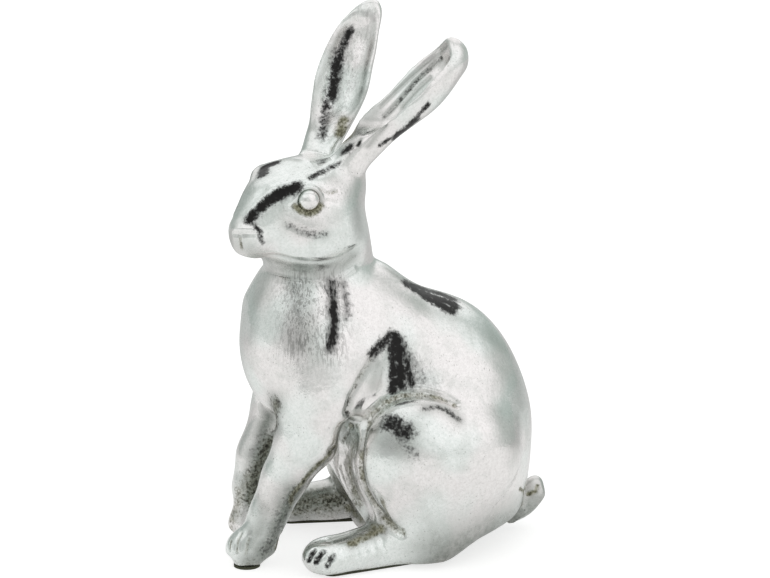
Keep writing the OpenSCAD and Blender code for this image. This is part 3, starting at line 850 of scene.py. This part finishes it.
# olive wash and painted shade on the flank
paint(olive, FLANK_MIDDLE, 5.5, 0.5, other_side)
paint(painted_shade, FLANK_MIDDLE, 5.5, 0.45, other_side)
paint(painted_shade, FLANK_LOW, 4.5, 1.0, other_side)
paint(olive, FLANK_LOW, 3.0, 0.6, other_side)
paint(painted_shade, FLANK_EDGE, 3.5, 0.6, other_side)
tell_painted_layers("the haunch")

# %% [markdown]
# ### The chest and the back
# The chest is smooth and scratched downwards, with one long dark streak, and the back has a dark
# wedge behind the neck; the streak and the wedge are painted dark reflections. Grey bands of
# painted shade at the neck and the rump take the shine off their edges.

# %% Paths on the chest and the back
CHEST_STREAK = [(332, 284), (333, 304), (334, 320), (333, 334), (331, 348)]
CHEST_DARK = [(333, 302), (334, 318), (332, 343)]
CHEST_SHADE = [(297, 290), (298, 312), (299, 341)]
CHEST_SCORED = [(300, 287), (302, 342)]
CHEST_EDGE = [(343, 283), (346, 300), (346, 318)]
BACK_TOP = [(407, 284), (425, 289), (440, 293.5), (453, 299)]
BACK_MIDDLE = [(413, 288), (430, 295), (454, 305)]
BACK_LOW = [(423, 295), (436, 302), (450, 310)]
BACK_BAND = [(500, 330), (512, 358), (518, 390), (518, 420), (514, 450)]
NECK_BACK = [(357, 182), (357, 208), (358, 236)]
BACK_EDGE = [(385, 268), (402, 280), (428, 288), (450, 296)]

# %% The chest and the back rubbed
# painted dark reflections down the chest
paint(dark_reflection_and_shade, CHEST_STREAK, 3.7, 0.65)
paint(dark_reflection_and_shade, CHEST_DARK, 2.2, 0.95)
paint(dark_reflection_and_shade, CHEST_EDGE, 3.0, 0.5)
# painted shade on the chest
paint(dark_reflection_and_shade, CHEST_SHADE, 6.5, 0.3)
paint(painted_shade, CHEST_SHADE, 6.5, 0.3)
paint(scratched, CHEST_SCORED, 9.5, 1.0)
paint(scratched, CHEST_STREAK, 7, 1.0)
# painted dark reflection: the wedge on the back
for line in (BACK_TOP, BACK_MIDDLE, BACK_LOW):
    paint(dark_reflection_and_shade, line, 3.6, 1.0)
# painted shade along the back, the rump and the neck
paint(painted_shade, BACK_EDGE, 2.2, 0.5)
paint(painted_shade, BACK_BAND, 6.5, 0.32)
paint(painted_shade, NECK_BACK, 4.0, 0.35)
tell_painted_layers("the chest")

# %% [markdown]
# ### The ears
# The far ear shows its inner face: a dark channel near its front edge and a full fold behind it;
# the channel's dark is a painted reflection. The near ear shows its back, with a rolled rim and a
# groove that runs beside it, and painted shade along them.

# %% Paths on the ears
FAR_FOLD = [(366, 18), (359, 45), (353, 72), (346, 98), (339, 124)]
FAR_CHANNEL = [(350.5, 30), (344, 43), (336.5, 61), (333.5, 79), (327, 104), (324, 122), (322.5, 137)]
FAR_TIP_LINE = [(359, 9), (365, 21), (366, 31)]
FAR_CREASE = [(357, 72), (356, 90), (348, 99)]
FAR_CHANNEL_BLACK = [(339.5, 54), (336.5, 66), (334.5, 82), (332, 97)]
NEAR_RIM = [(446, 46), (440, 51), (425, 65), (410, 78), (395, 92), (380, 107)]
NEAR_GROOVE = [(441, 58), (428, 70), (415, 82), (400, 100), (385, 116), (370, 131), (358, 145)]
NEAR_CREASE = [(430, 77), (414, 92), (402, 106), (386, 125), (368, 146)]
NEAR_UNDER = [(380, 145), (391, 138), (403, 130), (416, 118), (428, 104)]
NEAR_UNDER_WIDE = [(396, 137), (405, 130), (414, 122)]
NEAR_ROOT = [(350, 142), (362, 126), (376, 112)]
FAR_FRONT = [(312, 128), (313, 106), (318, 84), (328, 58), (340, 36)]
FAR_BACK = [(350, 124), (358, 108), (364, 92)]
EAR_ROOT_SPOT = [(345, 151), (350, 147)]
FAR_PATINA = [(340, 133), (344, 122)]

# %% The ears carved and rubbed
carve(FAR_FOLD, 5.0, -2.0)
carve(FAR_CHANNEL, 2.6, 0.9)
paint(scratched, FAR_FOLD, 6.0, 0.4)
# painted dark reflection in the far ear's channel
paint(dark_reflection_and_shade, FAR_CHANNEL[:4], 2.5, 0.82)
paint(dark_reflection_and_shade, FAR_CHANNEL_BLACK, 3.7, 0.85)
paint(dark_reflection_and_shade, FAR_CHANNEL[3:], 2.9, 0.72)
# painted shade along the far ear's edges, at its tip and in its crease
paint(painted_shade, FAR_FRONT, 2.0, 0.5)
paint(painted_shade, FAR_BACK, 3.0, 0.45)
paint(dark_reflection_and_shade, FAR_TIP_LINE, 1.0, 0.7)
carve(FAR_CREASE, 0.9, 0.4)
paint(dark_reflection_and_shade, FAR_CREASE, 0.8, 0.4)
# painted shade along the near ear's rim and grooves
for line, depth, grey in ((NEAR_RIM, 0.6, 0.8), (NEAR_GROOVE, 0.7, 1.0), (NEAR_CREASE, 0.4, 0.7)):
    carve(line, 0.8, depth)
    paint(painted_shade, line, 1.3, grey)
# painted shade in the near ear's groove, under its rim and at the roots of the ears
paint(dark_reflection_and_shade, NEAR_GROOVE, 0.9, 1.0)
paint(dark_reflection_and_shade, NEAR_UNDER, 1.6, 0.85)
paint(dark_reflection_and_shade, NEAR_UNDER_WIDE, 3.1, 1.0)
paint(painted_shade, NEAR_ROOT, 4.5, 0.55)
paint(dark_reflection_and_shade, EAR_ROOT_SPOT, 2.4, 0.95)
paint(olive, FAR_PATINA, 3.0, 1.0)
tell_painted_layers("the ears")

# %% [markdown]
# ### The legs, the feet and the tail
# The toes of the hind foot are deep notches, and those of the forepaws are only scratched in. The
# inner side of the far foreleg and the rear of both paws lie in shade, which is painted into their
# colour, as is the dark in the toe notches and on the far hind foot.

# %% Paths on the legs and the tail
PAW_LINES = [[(241, 533), (238, 541), (237, 552)], [(249, 538), (247, 547), (246, 555)],
             [(231, 540), (230, 550)]]
TOES = [[(314, 551), (309, 560), (306, 570)], [(323, 552), (316, 562), (311, 574)],
        [(333, 556), (327, 566), (319, 577)]]
INSTEP = [[(347, 551), (350, 562)], [(356, 547), (358, 556)], [(365, 544), (366, 553)],
          [(373, 541), (375, 550)], [(382, 538), (384, 547)]]
FOOT_TOP = [(351, 543), (360, 539), (370, 535), (381, 529)]
FAR_LEG_INNER = [(276, 404), (275, 411), (276, 424), (270, 441), (262, 461), (255, 481), (250, 500)]
FAR_LEG_MIDDLE = [(268, 418), (263, 436), (258, 456), (252, 478)]
FAR_LEG_LOW = [(250, 480), (236, 505), (230, 528)]
PAW_LOW = [(284, 530), (280, 545), (268, 556), (250, 560)]
PAW_REAR = [(294, 492), (285, 508), (279, 524), (274, 540), (264, 552)]
PAW_SIDE = [(266, 510), (262, 528), (250, 545)]
FORELEG_REAR = [(335, 447), (320, 463), (305, 479), (291, 497), (288, 522), (277, 549)]
FAR_FOOT = [(298, 505), (318, 500), (340, 500)]
TAIL_FOLD = [(520, 489), (528, 494), (535, 492), (537, 486)]
TAIL_UNDER = [(524, 511), (533, 503), (541, 494)]

# %% The legs and the tail carved and rubbed
for line in PAW_LINES:
    carve(line, 0.7, 0.5, other_paw)
    paint(olive, line, 0.7, 0.6, other_paw)
# painted shade in the toe notches
for line in TOES:
    carve(line, 0.9, 1.4, other_side)
    paint(dark_reflection_and_shade, line, 1.4, 0.95, other_side)
for line in INSTEP:
    carve(line, 1.0, 0.35, other_side)
# olive wash and painted shade along the top of the foot
paint(olive, FOOT_TOP, 2.4, 0.8, other_side)
paint(painted_shade, FOOT_TOP, 3.4, 0.7, other_side)
carve(FAR_LEG_INNER[2:], 2.2, 0.5)
# painted shade on the inner side of the far foreleg
paint(olive, FAR_LEG_INNER, 4.0, 0.5)
paint(painted_shade, FAR_LEG_INNER, 5.5, 1.0)
paint(painted_shade, FAR_LEG_MIDDLE, 4.6, 1.0)
paint(dark_reflection_and_shade, FAR_LEG_INNER, 6.5, 0.42)
paint(olive, FAR_LEG_LOW, 5, 0.5)
# painted shade at the rear and the underside of the paws
paint(painted_shade, PAW_REAR, 7.0, 1.0, other_paw)
paint(dark_reflection_and_shade, PAW_REAR, 5.0, 0.36, other_paw)
paint(painted_shade, PAW_LOW, 4.5, 0.9, other_paw)
paint(painted_shade, PAW_SIDE, 5.0, 0.6, other_paw)
# painted shade along the rear of the forelegs
paint(olive, FORELEG_REAR, 1.6, 0.8, other_paw)
paint(painted_shade, FORELEG_REAR, 2.6, 0.6, other_paw)
paint(dark_reflection_and_shade, FORELEG_REAR, 0.8, 0.5, other_paw)
# painted shade on the far hind foot
paint(olive, FAR_FOOT, 9, 0.45)
paint(painted_shade, FAR_FOOT, 10, 1.0)
paint(dark_reflection_and_shade, FAR_FOOT, 7, 0.36)
carve(TAIL_UNDER, 3.0, -1.6)
carve(TAIL_FOLD, 0.7, 0.8)
paint(olive, TAIL_FOLD, 1.0, 0.9)
tell_painted_layers("the legs")

# %% [markdown]
# ### Hollows
# The olive wash also stays wherever the skin turns inwards. Round the base the olive layer is
# painted shade, and the low rump gets painted shade in the grey layer. A relaxed skin sinks at
# ridges and rises in hollows, so the rise measures them.

# %% The wash in the hollows
IN_HOLLOWS, IN_EAR_HOLLOWS, BASE_SHADE, RUMP_SHADE = 0.5, 0.2, 0.4, 0.95
RISE_ROUNDS, HOLLOW_RISE, OFF_EARS = 30, (0.18 * MM, 0.6 * MM), (0, 3 * MM)
BASE_TALL, RUMP_TALL, RUMP_BACK = (0, 7 * MM), (6 * MM, 34 * MM), (-6 * MM, 16 * MM)
place[:, 2] = np.maximum(place[:, 2], sole_z)
place = np.clip(place, np.array(cad_box[0]), np.array(cad_box[1]))
skin_normals = normals()
rise = ((relaxed(place, RISE_ROUNDS) - place) * skin_normals).sum(1)
in_ears = 1 - soft_step(from_ears, *OFF_EARS)
hollow_wash = IN_HOLLOWS - (IN_HOLLOWS - IN_EAR_HOLLOWS) * in_ears
olive[:] = np.maximum(olive, hollow_wash * soft_step(rise, *HOLLOW_RISE))
# painted shade round the base, laid in the olive layer
olive[:] = np.maximum(olive, BASE_SHADE * (1 - soft_step(place[:, 2], *BASE_TALL)))
low_rump = (1 - soft_step(place[:, 2], *RUMP_TALL)) * soft_step(place[:, 1], *RUMP_BACK)
# painted shade on the low rump
painted_shade[:] = np.maximum(painted_shade, RUMP_SHADE * low_rump)
for name, layer in layers.items():
    store = shaped.attributes.new(name, "FLOAT", "POINT")
    store.data.foreach_set("value", relaxed(layer, 1))
print("rise mm", np.round(np.percentile(rise / MM, [1, 50, 90, 99]), 3))

# %% [markdown]
# ## Cutting the skin back into castings
# Each casting takes the faces nearest to it. The cut leaves an open edge, so each piece is closed
# with a flat fill that lies inside the figure. The normals of the whole skin are kept on the
# pieces, because the leaf runs over the joints without a line.

# %% Which face goes to which casting
store = shaped.attributes.new("whole_normal", "FLOAT_VECTOR", "POINT")
store.data.foreach_set("vector", normals().ravel())


def corners_and_sides(mesh):
    """The vertex at each corner of a mesh, and how many corners each face has."""
    corners = np.empty(len(mesh.loops), dtype=np.int64)
    mesh.loops.foreach_get("vertex_index", corners)
    sides = np.empty(len(mesh.polygons), dtype=np.int64)
    mesh.polygons.foreach_get("loop_total", sides)
    return corners, sides


corners, sides = corners_and_sides(shaped)
starts = np.concatenate([[0], np.cumsum(sides)[:-1]])
far_off = np.stack([relaxed(from_casting[name], 4) for name in CASTINGS], 1)
face_owner = np.argmin(np.add.reduceat(far_off[corners], starts, axis=0), axis=1).tolist()
print("faces", len(face_owner))

# %% [markdown]
# The piece of each casting starts as the whole skin, loses the faces of the others, and gets its
# flat fill. The fill is marked, so that it alone keeps normals of its own.

# %% The piece of one casting
def casting_piece(index, name):
    """The faces of one casting, closed inside the figure."""
    bm = bmesh.new()
    bm.from_mesh(shaped)
    hidden = bm.faces.layers.int.new("hidden")
    others = [f for f, owner in zip(bm.faces, face_owner) if owner != index]
    bmesh.ops.delete(bm, geom=others, context="FACES")
    rim = [e for e in bm.edges if e.is_boundary]
    fill = bmesh.ops.holes_fill(bm, edges=rim, sides=0)["faces"]
    fill = bmesh.ops.triangulate(bm, faces=fill)["faces"]
    for face in fill:
        face[hidden] = 1
    for face in bm.faces:
        face.smooth = True
    mesh = bpy.data.meshes.new(name)
    bm.to_mesh(mesh)
    bm.free()
    return mesh


def with_whole_normals(mesh):
    """Outer faces keep the whole skin's normals, and the fill keeps its own."""
    whole = np.empty(len(mesh.vertices) * 3)
    mesh.attributes["whole_normal"].data.foreach_get("vector", whole)
    corners, sides = corners_and_sides(mesh)
    hidden = np.empty(len(mesh.polygons), dtype=np.int64)
    mesh.attributes["hidden"].data.foreach_get("value", hidden)
    on_fill = np.repeat(hidden, sides)[:, None] == 1
    mesh.normals_split_custom_set(np.where(on_fill, 0, whole.reshape(-1, 3)[corners]))
    mesh.attributes.remove(mesh.attributes["whole_normal"])
    mesh.attributes.remove(mesh.attributes["hidden"])


def new_piece(name, mesh, slot, *stands_for):
    """Links a finished mesh as a piece of the figure."""
    piece = bpy.data.objects.new(name, mesh)
    bpy.context.scene.collection.objects.link(piece)
    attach(piece, "root")
    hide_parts(*stands_for)
    return piece


# %% The leafed pieces
pieces = {}
for index, name in enumerate(CASTINGS):
    mesh = casting_piece(index, name + "_leafed")
    with_whole_normals(mesh)
    pieces[name] = new_piece(name + "_leafed", mesh, "silver_leaf", name)
    print(name, len(mesh.polygons), "faces")

# %% [markdown]
# ## Finishes
# Every finish is a set of nodes on Object coordinates turned to millimetres, so that the sizes in
# it are real ones: noise with a Scale of 1 / 3.2 has blots of about 3.2 mm. The photograph shows
# nothing finer than 0.5 mm, so finer grains are drawn coarser, and a comment says where.

# %% Helpers for the finishes
def linear(hex_colour):
    """An sRGB hex colour as linear RGBA."""
    parts = [int(hex_colour[i:i + 2], 16) / 255 for i in (1, 3, 5)]
    return [c / 12.92 if c <= 0.04045 else ((c + 0.055) / 1.055) ** 2.4 for c in parts] + [1]


def add_node(tree, kind, gives=0, **settings):
    """Adds a node with its settings and links, and returns the output socket that it gives.

    The kind is written without its ShaderNode. A setting is a property or an input, with _ for
    each space. Inputs that share a name go by number, as in_6. A socket is linked, a hex colour is
    made linear, and None is left out.
    """
    node = tree.nodes.new("ShaderNode" + kind)
    for key, value in settings.items():
        if hasattr(node, key):
            setattr(node, key, value)
            continue
        entry = node.inputs[int(key[3:]) if key.startswith("in_") else key.replace("_", " ")]
        if isinstance(value, bpy.types.NodeSocket):
            tree.links.new(entry, value)
        elif value is not None:
            entry.default_value = linear(value) if isinstance(value, str) else value
    return node.outputs[gives] if len(node.outputs) else None


# what every soft step and every mix of colours is given
SOFT = {"interpolation_type": "SMOOTHSTEP"}
COLOURS = {"gives": 2, "data_type": "RGBA"}


def new_finish(name):
    """A new material with its empty node tree, and its coordinates in millimetres."""
    material = bpy.data.materials.new(name)
    material.use_nodes = True
    tree = material.node_tree
    tree.nodes.clear()
    in_metres = add_node(tree, "TexCoord", "Object")
    at = add_node(tree, "VectorMath", operation="SCALE", in_0=in_metres, Scale=1 / MM)
    return material, tree, at


def close_finish(tree, height, depth, **looks):
    """Ends a finish: relief of a depth in millimetres, and the surface with its looks."""
    relief = add_node(tree, "Bump", Distance=depth * MM, Height=height)
    surface = add_node(tree, "BsdfPrincipled", Normal=relief, **looks)
    add_node(tree, "OutputMaterial", Surface=surface)


# 1A1918 is the colour of the painted dark reflections and painted shade
print("black wash as linear", [round(c, 4) for c in linear("#1A1918")])

# %% [markdown]
# ### Silver leaf
# Imitation silver leaf is aluminium beaten thin, laid on glue and pressed down with a brush. It
# gives a bright metal with a soft burnish, so the metallic value is 1 and the IOR stays at its
# default. It wrinkles as it is laid, takes pits and scratches from the casting below, and dulls to
# a grey green in patches. Each pattern is noise put through a soft step.

# %% Silver leaf: its patterns
silver, tree, at = new_finish("silver_leaf")
# in mm; real specks and scratches are about 0.4 mm across, too fine to show, so they are drawn
# coarser, and the scratches run down the figure because their z is shortened
SPECK, BLOT, SCRATCH = 1.3, 3.2, 1.1
SCRATCH_RUN = (1.0, 1.0, 0.06)
along_scratches = add_node(tree, "VectorMath", operation="MULTIPLY", in_0=at, in_1=SCRATCH_RUN)
scratches = add_node(tree, "TexNoise", Vector=along_scratches, Scale=1 / SCRATCH, Detail=3.0,
                     Roughness=0.65)
speck = add_node(tree, "TexNoise", Vector=at, Scale=1 / SPECK, Detail=4.0, Roughness=0.7)
blot = add_node(tree, "TexNoise", Vector=at, Scale=1 / BLOT, Detail=3.0, Roughness=0.6)

# size in mm, detail, roughness and distortion; then the step from low to high, first and last
PATTERNS = {
    "dull": (11.0, 5.0, 0.6, 0.4, 0.45, 0.70, 0.0, 0.35),
    "freckle": (0.9, 3.0, 0.7, 0.0, 0.60, 0.72, 0.0, 0.75),
    "freckled": (14.0, 3.0, 0.6, 0.0, 0.42, 0.62, 0.25, 1.0),
    "grain": (SPECK, 4.0, 0.7, 0.0, 0.35, 0.65, 0.0, 1.0),
    "tint": (26.0, 1.0, 0.5, 0.0, 0.4, 0.6, 0.0, 1.0),
    "worn": (BLOT, 3.0, 0.6, 0.0, 0.3, 0.7, 0.8, 1.0),
    "burnish": (4.0, 3.0, 0.6, 0.0, 0.3, 0.7, 0.10, 0.20),
    "pits": (0.9, 1.0, 0.5, 0.0, 0.64, 0.78, 1.0, 0.0),
}
pattern = {}
for name, (size, detail, rough, bend, low, high, first, last) in PATTERNS.items():
    cloud = add_node(tree, "TexNoise", Vector=at, Scale=1 / size, Detail=detail, Roughness=rough,
                     Distortion=bend)
    pattern[name] = add_node(tree, "MapRange", **SOFT, Value=cloud, From_Min=low, From_Max=high,
                             To_Min=first, To_Max=last)
print("patterns", list(pattern))

# %% [markdown]
# The olive wash is rubbed on and wiped off again, so it stays in the hollows, and where it is thin
# silver specks show through; the painted dark reflections and the painted shade get the same
# ragged edges. A ragged threshold under each painted layer gives those edges: specks and blots in
# most places, and long streaks where the leaf is scratched.

# %% Silver leaf: the washes
# the painted layers: dark reflections and shade, olive wash and shade, painted shade, scratches
painted_layer = {name: add_node(tree, "Attribute", "Fac", attribute_name=name) for name in layers}
speckled = add_node(tree, "Mix", data_type="FLOAT", Factor=0.4, in_2=speck, in_3=blot)
streaky = add_node(tree, "Mix", data_type="FLOAT", Factor=0.3, in_2=scratches, in_3=blot)
ragged = add_node(tree, "Mix", data_type="FLOAT", Factor=painted_layer["scratched"], in_2=speckled,
                  in_3=streaky)
ragged = add_node(tree, "MapRange", **SOFT, Value=ragged, From_Min=0.30, From_Max=0.70,
                  To_Min=0.18, To_Max=0.78)
mask = {}
for name, thin_at, thick_at in (("painted_reflection_and_shade", -0.30, 0.32), ("olive_wash", -0.35, 0.35)):
    over = add_node(tree, "Math", operation="SUBTRACT", in_0=painted_layer[name], in_1=ragged)
    mask[name] = add_node(tree, "MapRange", **SOFT, Value=over, From_Min=thin_at, From_Max=thick_at)
strands = add_node(tree, "MapRange", **SOFT, Value=scratches, From_Min=0.50, From_Max=0.57,
                   To_Max=0.7)
scratch_depth = add_node(tree, "MapRange", **SOFT, Value=painted_layer["scratched"], To_Min=0.12)
# the grey layer times a worn pattern gives the patches of painted shade
products = {}
for name, first, second in (("freckles", pattern["freckle"], pattern["freckled"]),
                            ("painted_shade_patches", painted_layer["painted_shade"], pattern["worn"]),
                            ("scored", scratches, scratch_depth),
                            ("strands", strands, painted_layer["scratched"]),
                            ("olive", mask["olive_wash"], 0.8),
                            ("dark_reflection_and_shade", mask["painted_reflection_and_shade"], 0.6)):
    products[name] = add_node(tree, "Math", operation="MULTIPLY", in_0=first, in_1=second)
# where the olive wash or the painted dark reflections and shade lie
darkened_by_paint = add_node(tree, "Math", operation="MAXIMUM", in_0=products["olive"], in_1=products["dark_reflection_and_shade"])
print("washes", list(painted_layer))

# %% [markdown]
# The colour is built up in layers: clean leaf in two near whites, then dull patches, freckles,
# painted shade, dirty scratches, and over all of them the olive wash with its painted shade and the
# black of the painted dark reflections and shade.

# %% Silver leaf: its colour
# the grey tone colours painted shade; the olive tone colours the olive wash and its painted shade
TONES = {"warm leaf": ("#FBF8F7", "#EDEAE9"), "cool leaf": ("#F7FAF8", "#E8EDEA"),
         "painted_shade": ("#7D827C", "#989C96"), "olive wash": ("#5A5844", "#A9A78F")}
tone = {}
for name, (low, high) in TONES.items():
    tone[name] = add_node(tree, "Mix", **COLOURS, Factor=pattern["grain"], in_6=low, in_7=high)
# coats in order; the last, #1A1918, paints the dark reflections and shade
colour = tone["warm leaf"]
for share, coat in ((pattern["tint"], tone["cool leaf"]), (pattern["dull"], "#CDD2CD"),
                    (products["freckles"], "#92948C"), (products["painted_shade_patches"], tone["painted_shade"]),
                    (products["strands"], "#7A7A77"), (mask["olive_wash"], tone["olive wash"]),
                    (mask["painted_reflection_and_shade"], "#1A1918")):
    colour = add_node(tree, "Mix", **COLOURS, Factor=share, in_6=colour, in_7=coat)
print("tones", list(tone))

# %% [markdown]
# The washes, the painted dark reflections and shade, the scratches and the painted shade make the
# leaf rougher, and the olive wash and the painted dark cover its metal. Bumps lie one over
# another: the hand's waves, the leaf's wrinkles, the scratches and the pits, each with its depth in
# millimetres.

# %% Silver leaf: its polish and relief
metal = add_node(tree, "MapRange", **SOFT, Value=darkened_by_paint, To_Min=1.0, To_Max=0.35)
roughness = pattern["burnish"]
for layer, rougher in ((pattern["dull"], 0.2), (darkened_by_paint, 0.3), (painted_layer["scratched"], 0.18),
                       (painted_layer["painted_shade"], 0.14)):
    roughness = add_node(tree, "Math", operation="MULTIPLY_ADD", in_0=layer, in_1=rougher,
                         in_2=roughness)
hand_waves = add_node(tree, "TexNoise", Vector=at, Scale=1 / 7.0, Distortion=0.4)
wrinkles = add_node(tree, "TexNoise", Vector=at, Scale=1 / 2.2, Detail=3.0, Roughness=0.55,
                    Distortion=1.0)
relief = None
for height, depth in ((hand_waves, 0.16), (wrinkles, 0.05), (products["scored"], 0.09),
                      (pattern["pits"], 0.035)):
    relief = add_node(tree, "Bump", Distance=depth * MM, Height=height, Normal=relief)
leaf = add_node(tree, "BsdfPrincipled", Base_Color=colour, Metallic=metal, Roughness=roughness,
                Normal=relief)
add_node(tree, "OutputMaterial", Surface=leaf)
for piece in pieces.values():
    piece.data.materials.append(silver)
print("silver leaf:", len(tree.nodes), "nodes on", len(pieces), "pieces")

# %% [markdown]
# ### What is under and inside the figure
# The pads are wool felt, the plug is pressed cork, the neck dowel is turned beech and the pins are
# cut steel rod. Only the felt and the cork can be seen, from below, so these finishes are plain:
# one pattern mixes two colours of the real material and roughens its surface.

# %% Felt
def give(material, *names):
    """Puts a finish in the slot of each carried-over CAD node."""
    for name in names:
        slots = nodes[name].data.materials
        slots.clear()
        slots.append(material)
    print(material.name, "on", len(names), "nodes")


# felt is pressed fibre, dull and hairy; a real fibre is 0.03 mm thick, drawn here as 0.35 mm
felt, tree, at = new_finish("pad_felt")
fuzz = add_node(tree, "TexNoise", Vector=at, Scale=1 / 0.35, Detail=4.0, Roughness=0.7,
                Distortion=2.0)
colour = add_node(tree, "Mix", **COLOURS, Factor=fuzz, in_6="#3B3D31", in_7="#6B6D58")
close_finish(tree, fuzz, 0.25, Base_Color=colour, Roughness=0.95)
give(felt, "left_fore_pad", "right_fore_pad", "left_hind_pad", "right_hind_pad", "rump_pad")
give(silver, "left_eye", "right_eye")

# %% Cork
# pressed cork is grains of about 1.8 mm, glued, with dark crumbs of bark between them
cork, tree, at = new_finish("plug_cork")
grains = add_node(tree, "TexVoronoi", "Distance", Vector=at, Scale=1 / 1.8)
grain_tone = add_node(tree, "MapRange", **SOFT, Value=grains, From_Max=0.9)
crumbs = add_node(tree, "TexNoise", Vector=at, Scale=1 / 0.8, Detail=3.0, Roughness=0.6)
crumbs = add_node(tree, "MapRange", **SOFT, Value=crumbs, From_Min=0.55, From_Max=0.8)
colour = add_node(tree, "Mix", **COLOURS, Factor=grain_tone, in_6="#B98E5F", in_7="#7A5534")
colour = add_node(tree, "Mix", **COLOURS, Factor=crumbs, in_6=colour, in_7="#4A3320")
close_finish(tree, grain_tone, -0.2, Base_Color=colour, Roughness=0.85)
give(cork, "filling_plug")

# %% Beech
# beech has short pores along its length, drawn 0.9 mm wide where real ones are 0.1 mm
beech, tree, at = new_finish("dowel_wood")
along_grain = add_node(tree, "VectorMath", operation="MULTIPLY", in_0=at, in_1=(1.0, 1.0, 0.1))
pores = add_node(tree, "TexNoise", Vector=along_grain, Scale=1 / 0.9, Detail=4.0, Roughness=0.6)
shade = add_node(tree, "MapRange", **SOFT, Value=pores, From_Min=0.35, From_Max=0.7)
colour = add_node(tree, "Mix", **COLOURS, Factor=shade, in_6="#D6B07C", in_7="#A97F4E")
close_finish(tree, pores, 0.05, Base_Color=colour, Roughness=0.6)
give(beech, "neck_dowel")

# %% Steel
# drawn rod has fine marks of the die, drawn 0.3 mm wide where real ones are 0.05 mm
steel, tree, at = new_finish("pin_steel")
marks = add_node(tree, "TexNoise", Vector=at, Scale=1 / 0.3, Detail=3.0, Roughness=0.6)
colour = add_node(tree, "Mix", **COLOURS, Factor=marks, in_6="#9C9D9E", in_7="#C4C5C6")
roughness = add_node(tree, "MapRange", **SOFT, Value=marks, From_Min=0.3, From_Max=0.7, To_Min=0.3,
                     To_Max=0.45)
close_finish(tree, marks, 0.01, Base_Color=colour, Metallic=1.0, Roughness=roughness)
give(steel, "left_ear_pin", "right_ear_pin", "left_foreleg_dowel", "right_foreleg_dowel",
     "left_hip_dowel", "right_hip_dowel", "tail_pin")

# %% [markdown]
# ## The studio
# Bright metal shows what stands round it. In the photograph that is a pale room with large window
# lights on the right and above, and dimmer places at the left, at the far side and where the
# photographer stands. They are painted into the world as soft discs, in directions counted from
# the camera, so no lamp is needed.

# %% The world
def studio_way(azimuth, elevation):
    """A direction from the object: 0,0 is the camera, azimuth to its right, elevation to its top."""
    a, e = math.radians(azimuth), math.radians(elevation)
    return (to_right * math.sin(a) + to_camera * math.cos(a)) * math.cos(e) + to_top * math.sin(e)


ROOM = "#D6D9D7"
# azimuth, elevation, half width and soft edge in degrees, and colour
PANELS = {
    "left side": (-144, 18, 18, 34, "#AEB4B1"),
    "photographer": (-38, 6, 8, 16, "#C2C3C2"),
    "left top": (-62, 44, 12, 14, "#F2F4F3"),
    "left window": (-36, 43, 13, 15, "#FFFFFF"),
    "far side": (136, 10, 18, 38, "#B8C0BC"),
    "window": (48, 28, 20, 28, "#FFFFFF"),
    "top strip": (20, 55, 10, 14, "#FFFFFF"),
    "back panel": (180, 62, 29, 14, "#FFFFFF"),
}
world = bpy.data.worlds.new("studio")
bpy.context.scene.world = world
world.use_nodes = True
tree = world.node_tree
tree.nodes.clear()
looking = add_node(tree, "TexCoord", "Generated")
light = ROOM
for azimuth, elevation, half, soft, tone_hex in PANELS.values():
    dot = add_node(tree, "VectorMath", "Value", operation="DOT_PRODUCT", in_0=looking,
                   in_1=studio_way(azimuth, elevation))
    inside = add_node(tree, "MapRange", **SOFT, Value=dot,
                      From_Min=math.cos(math.radians(half + soft)),
                      From_Max=math.cos(math.radians(half)))
    light = add_node(tree, "Mix", **COLOURS, Factor=inside, in_6=light, in_7=tone_hex)
seen = add_node(tree, "LightPath", "Is Camera Ray")
backdrop = add_node(tree, "Mix", **COLOURS, Factor=seen, in_6=light, in_7="#FFFFFF")
background = add_node(tree, "Background", Color=backdrop, Strength=1.0)
add_node(tree, "OutputWorld", Surface=background)
print("studio", list(PANELS))

# %% [markdown]
# ### The floor
# The floor is white paper. A glow that only the camera and the metal see lifts it to the white of
# the backdrop, and the figure's shadow stays on it. For the metal the glow falls off behind the
# figure, because a bright far floor would draw a hard line along its rear.

# %% The floor
FLOOR_HALF, BEHIND_FAR = 3, 300
CAMERA_GLOW, METAL_GLOW, METAL_GLOW_BEHIND = 0.68, 0.42, 0.10
floor_mesh = bpy.data.meshes.new("floor")
bm = bmesh.new()
bmesh.ops.create_grid(bm, x_segments=1, y_segments=1, size=FLOOR_HALF)
bm.to_mesh(floor_mesh)
bm.free()
floor = bpy.data.objects.new("floor", floor_mesh)
bpy.context.scene.collection.objects.link(floor)

# paper is pressed fibre without a gloss; its fibres are drawn as 2 mm clouds
paper, tree, at = new_finish("white_paper")
fibre = add_node(tree, "TexNoise", Vector=at, Scale=1 / 2.0)
colour = add_node(tree, "Mix", **COLOURS, Factor=fibre, in_6="#BCBCBB", in_7="#C2C2C1")
behind_figure = add_node(tree, "VectorMath", "Value", operation="DOT_PRODUCT", in_0=at,
                         in_1=(-to_right.y, to_right.x, 0))
falling_off = add_node(tree, "MapRange", **SOFT, Value=behind_figure, From_Max=BEHIND_FAR,
                       To_Min=METAL_GLOW, To_Max=METAL_GLOW_BEHIND)
by_camera = add_node(tree, "LightPath", "Is Camera Ray")
by_metal = add_node(tree, "LightPath", "Is Glossy Ray")
glow = add_node(tree, "Math", operation="MULTIPLY", in_0=by_metal, in_1=falling_off)
glow = add_node(tree, "Math", operation="MULTIPLY_ADD", in_0=by_camera, in_1=CAMERA_GLOW, in_2=glow)
surface = add_node(tree, "BsdfPrincipled", Base_Color=colour, Roughness=0.9,
                   Emission_Color="#FFFFFF", Emission_Strength=glow)
add_node(tree, "OutputMaterial", Surface=surface)
floor_mesh.materials.append(paper)
bpy.context.scene.view_settings.view_transform = "Standard"
print("floor", 2 * FLOOR_HALF, "m wide")
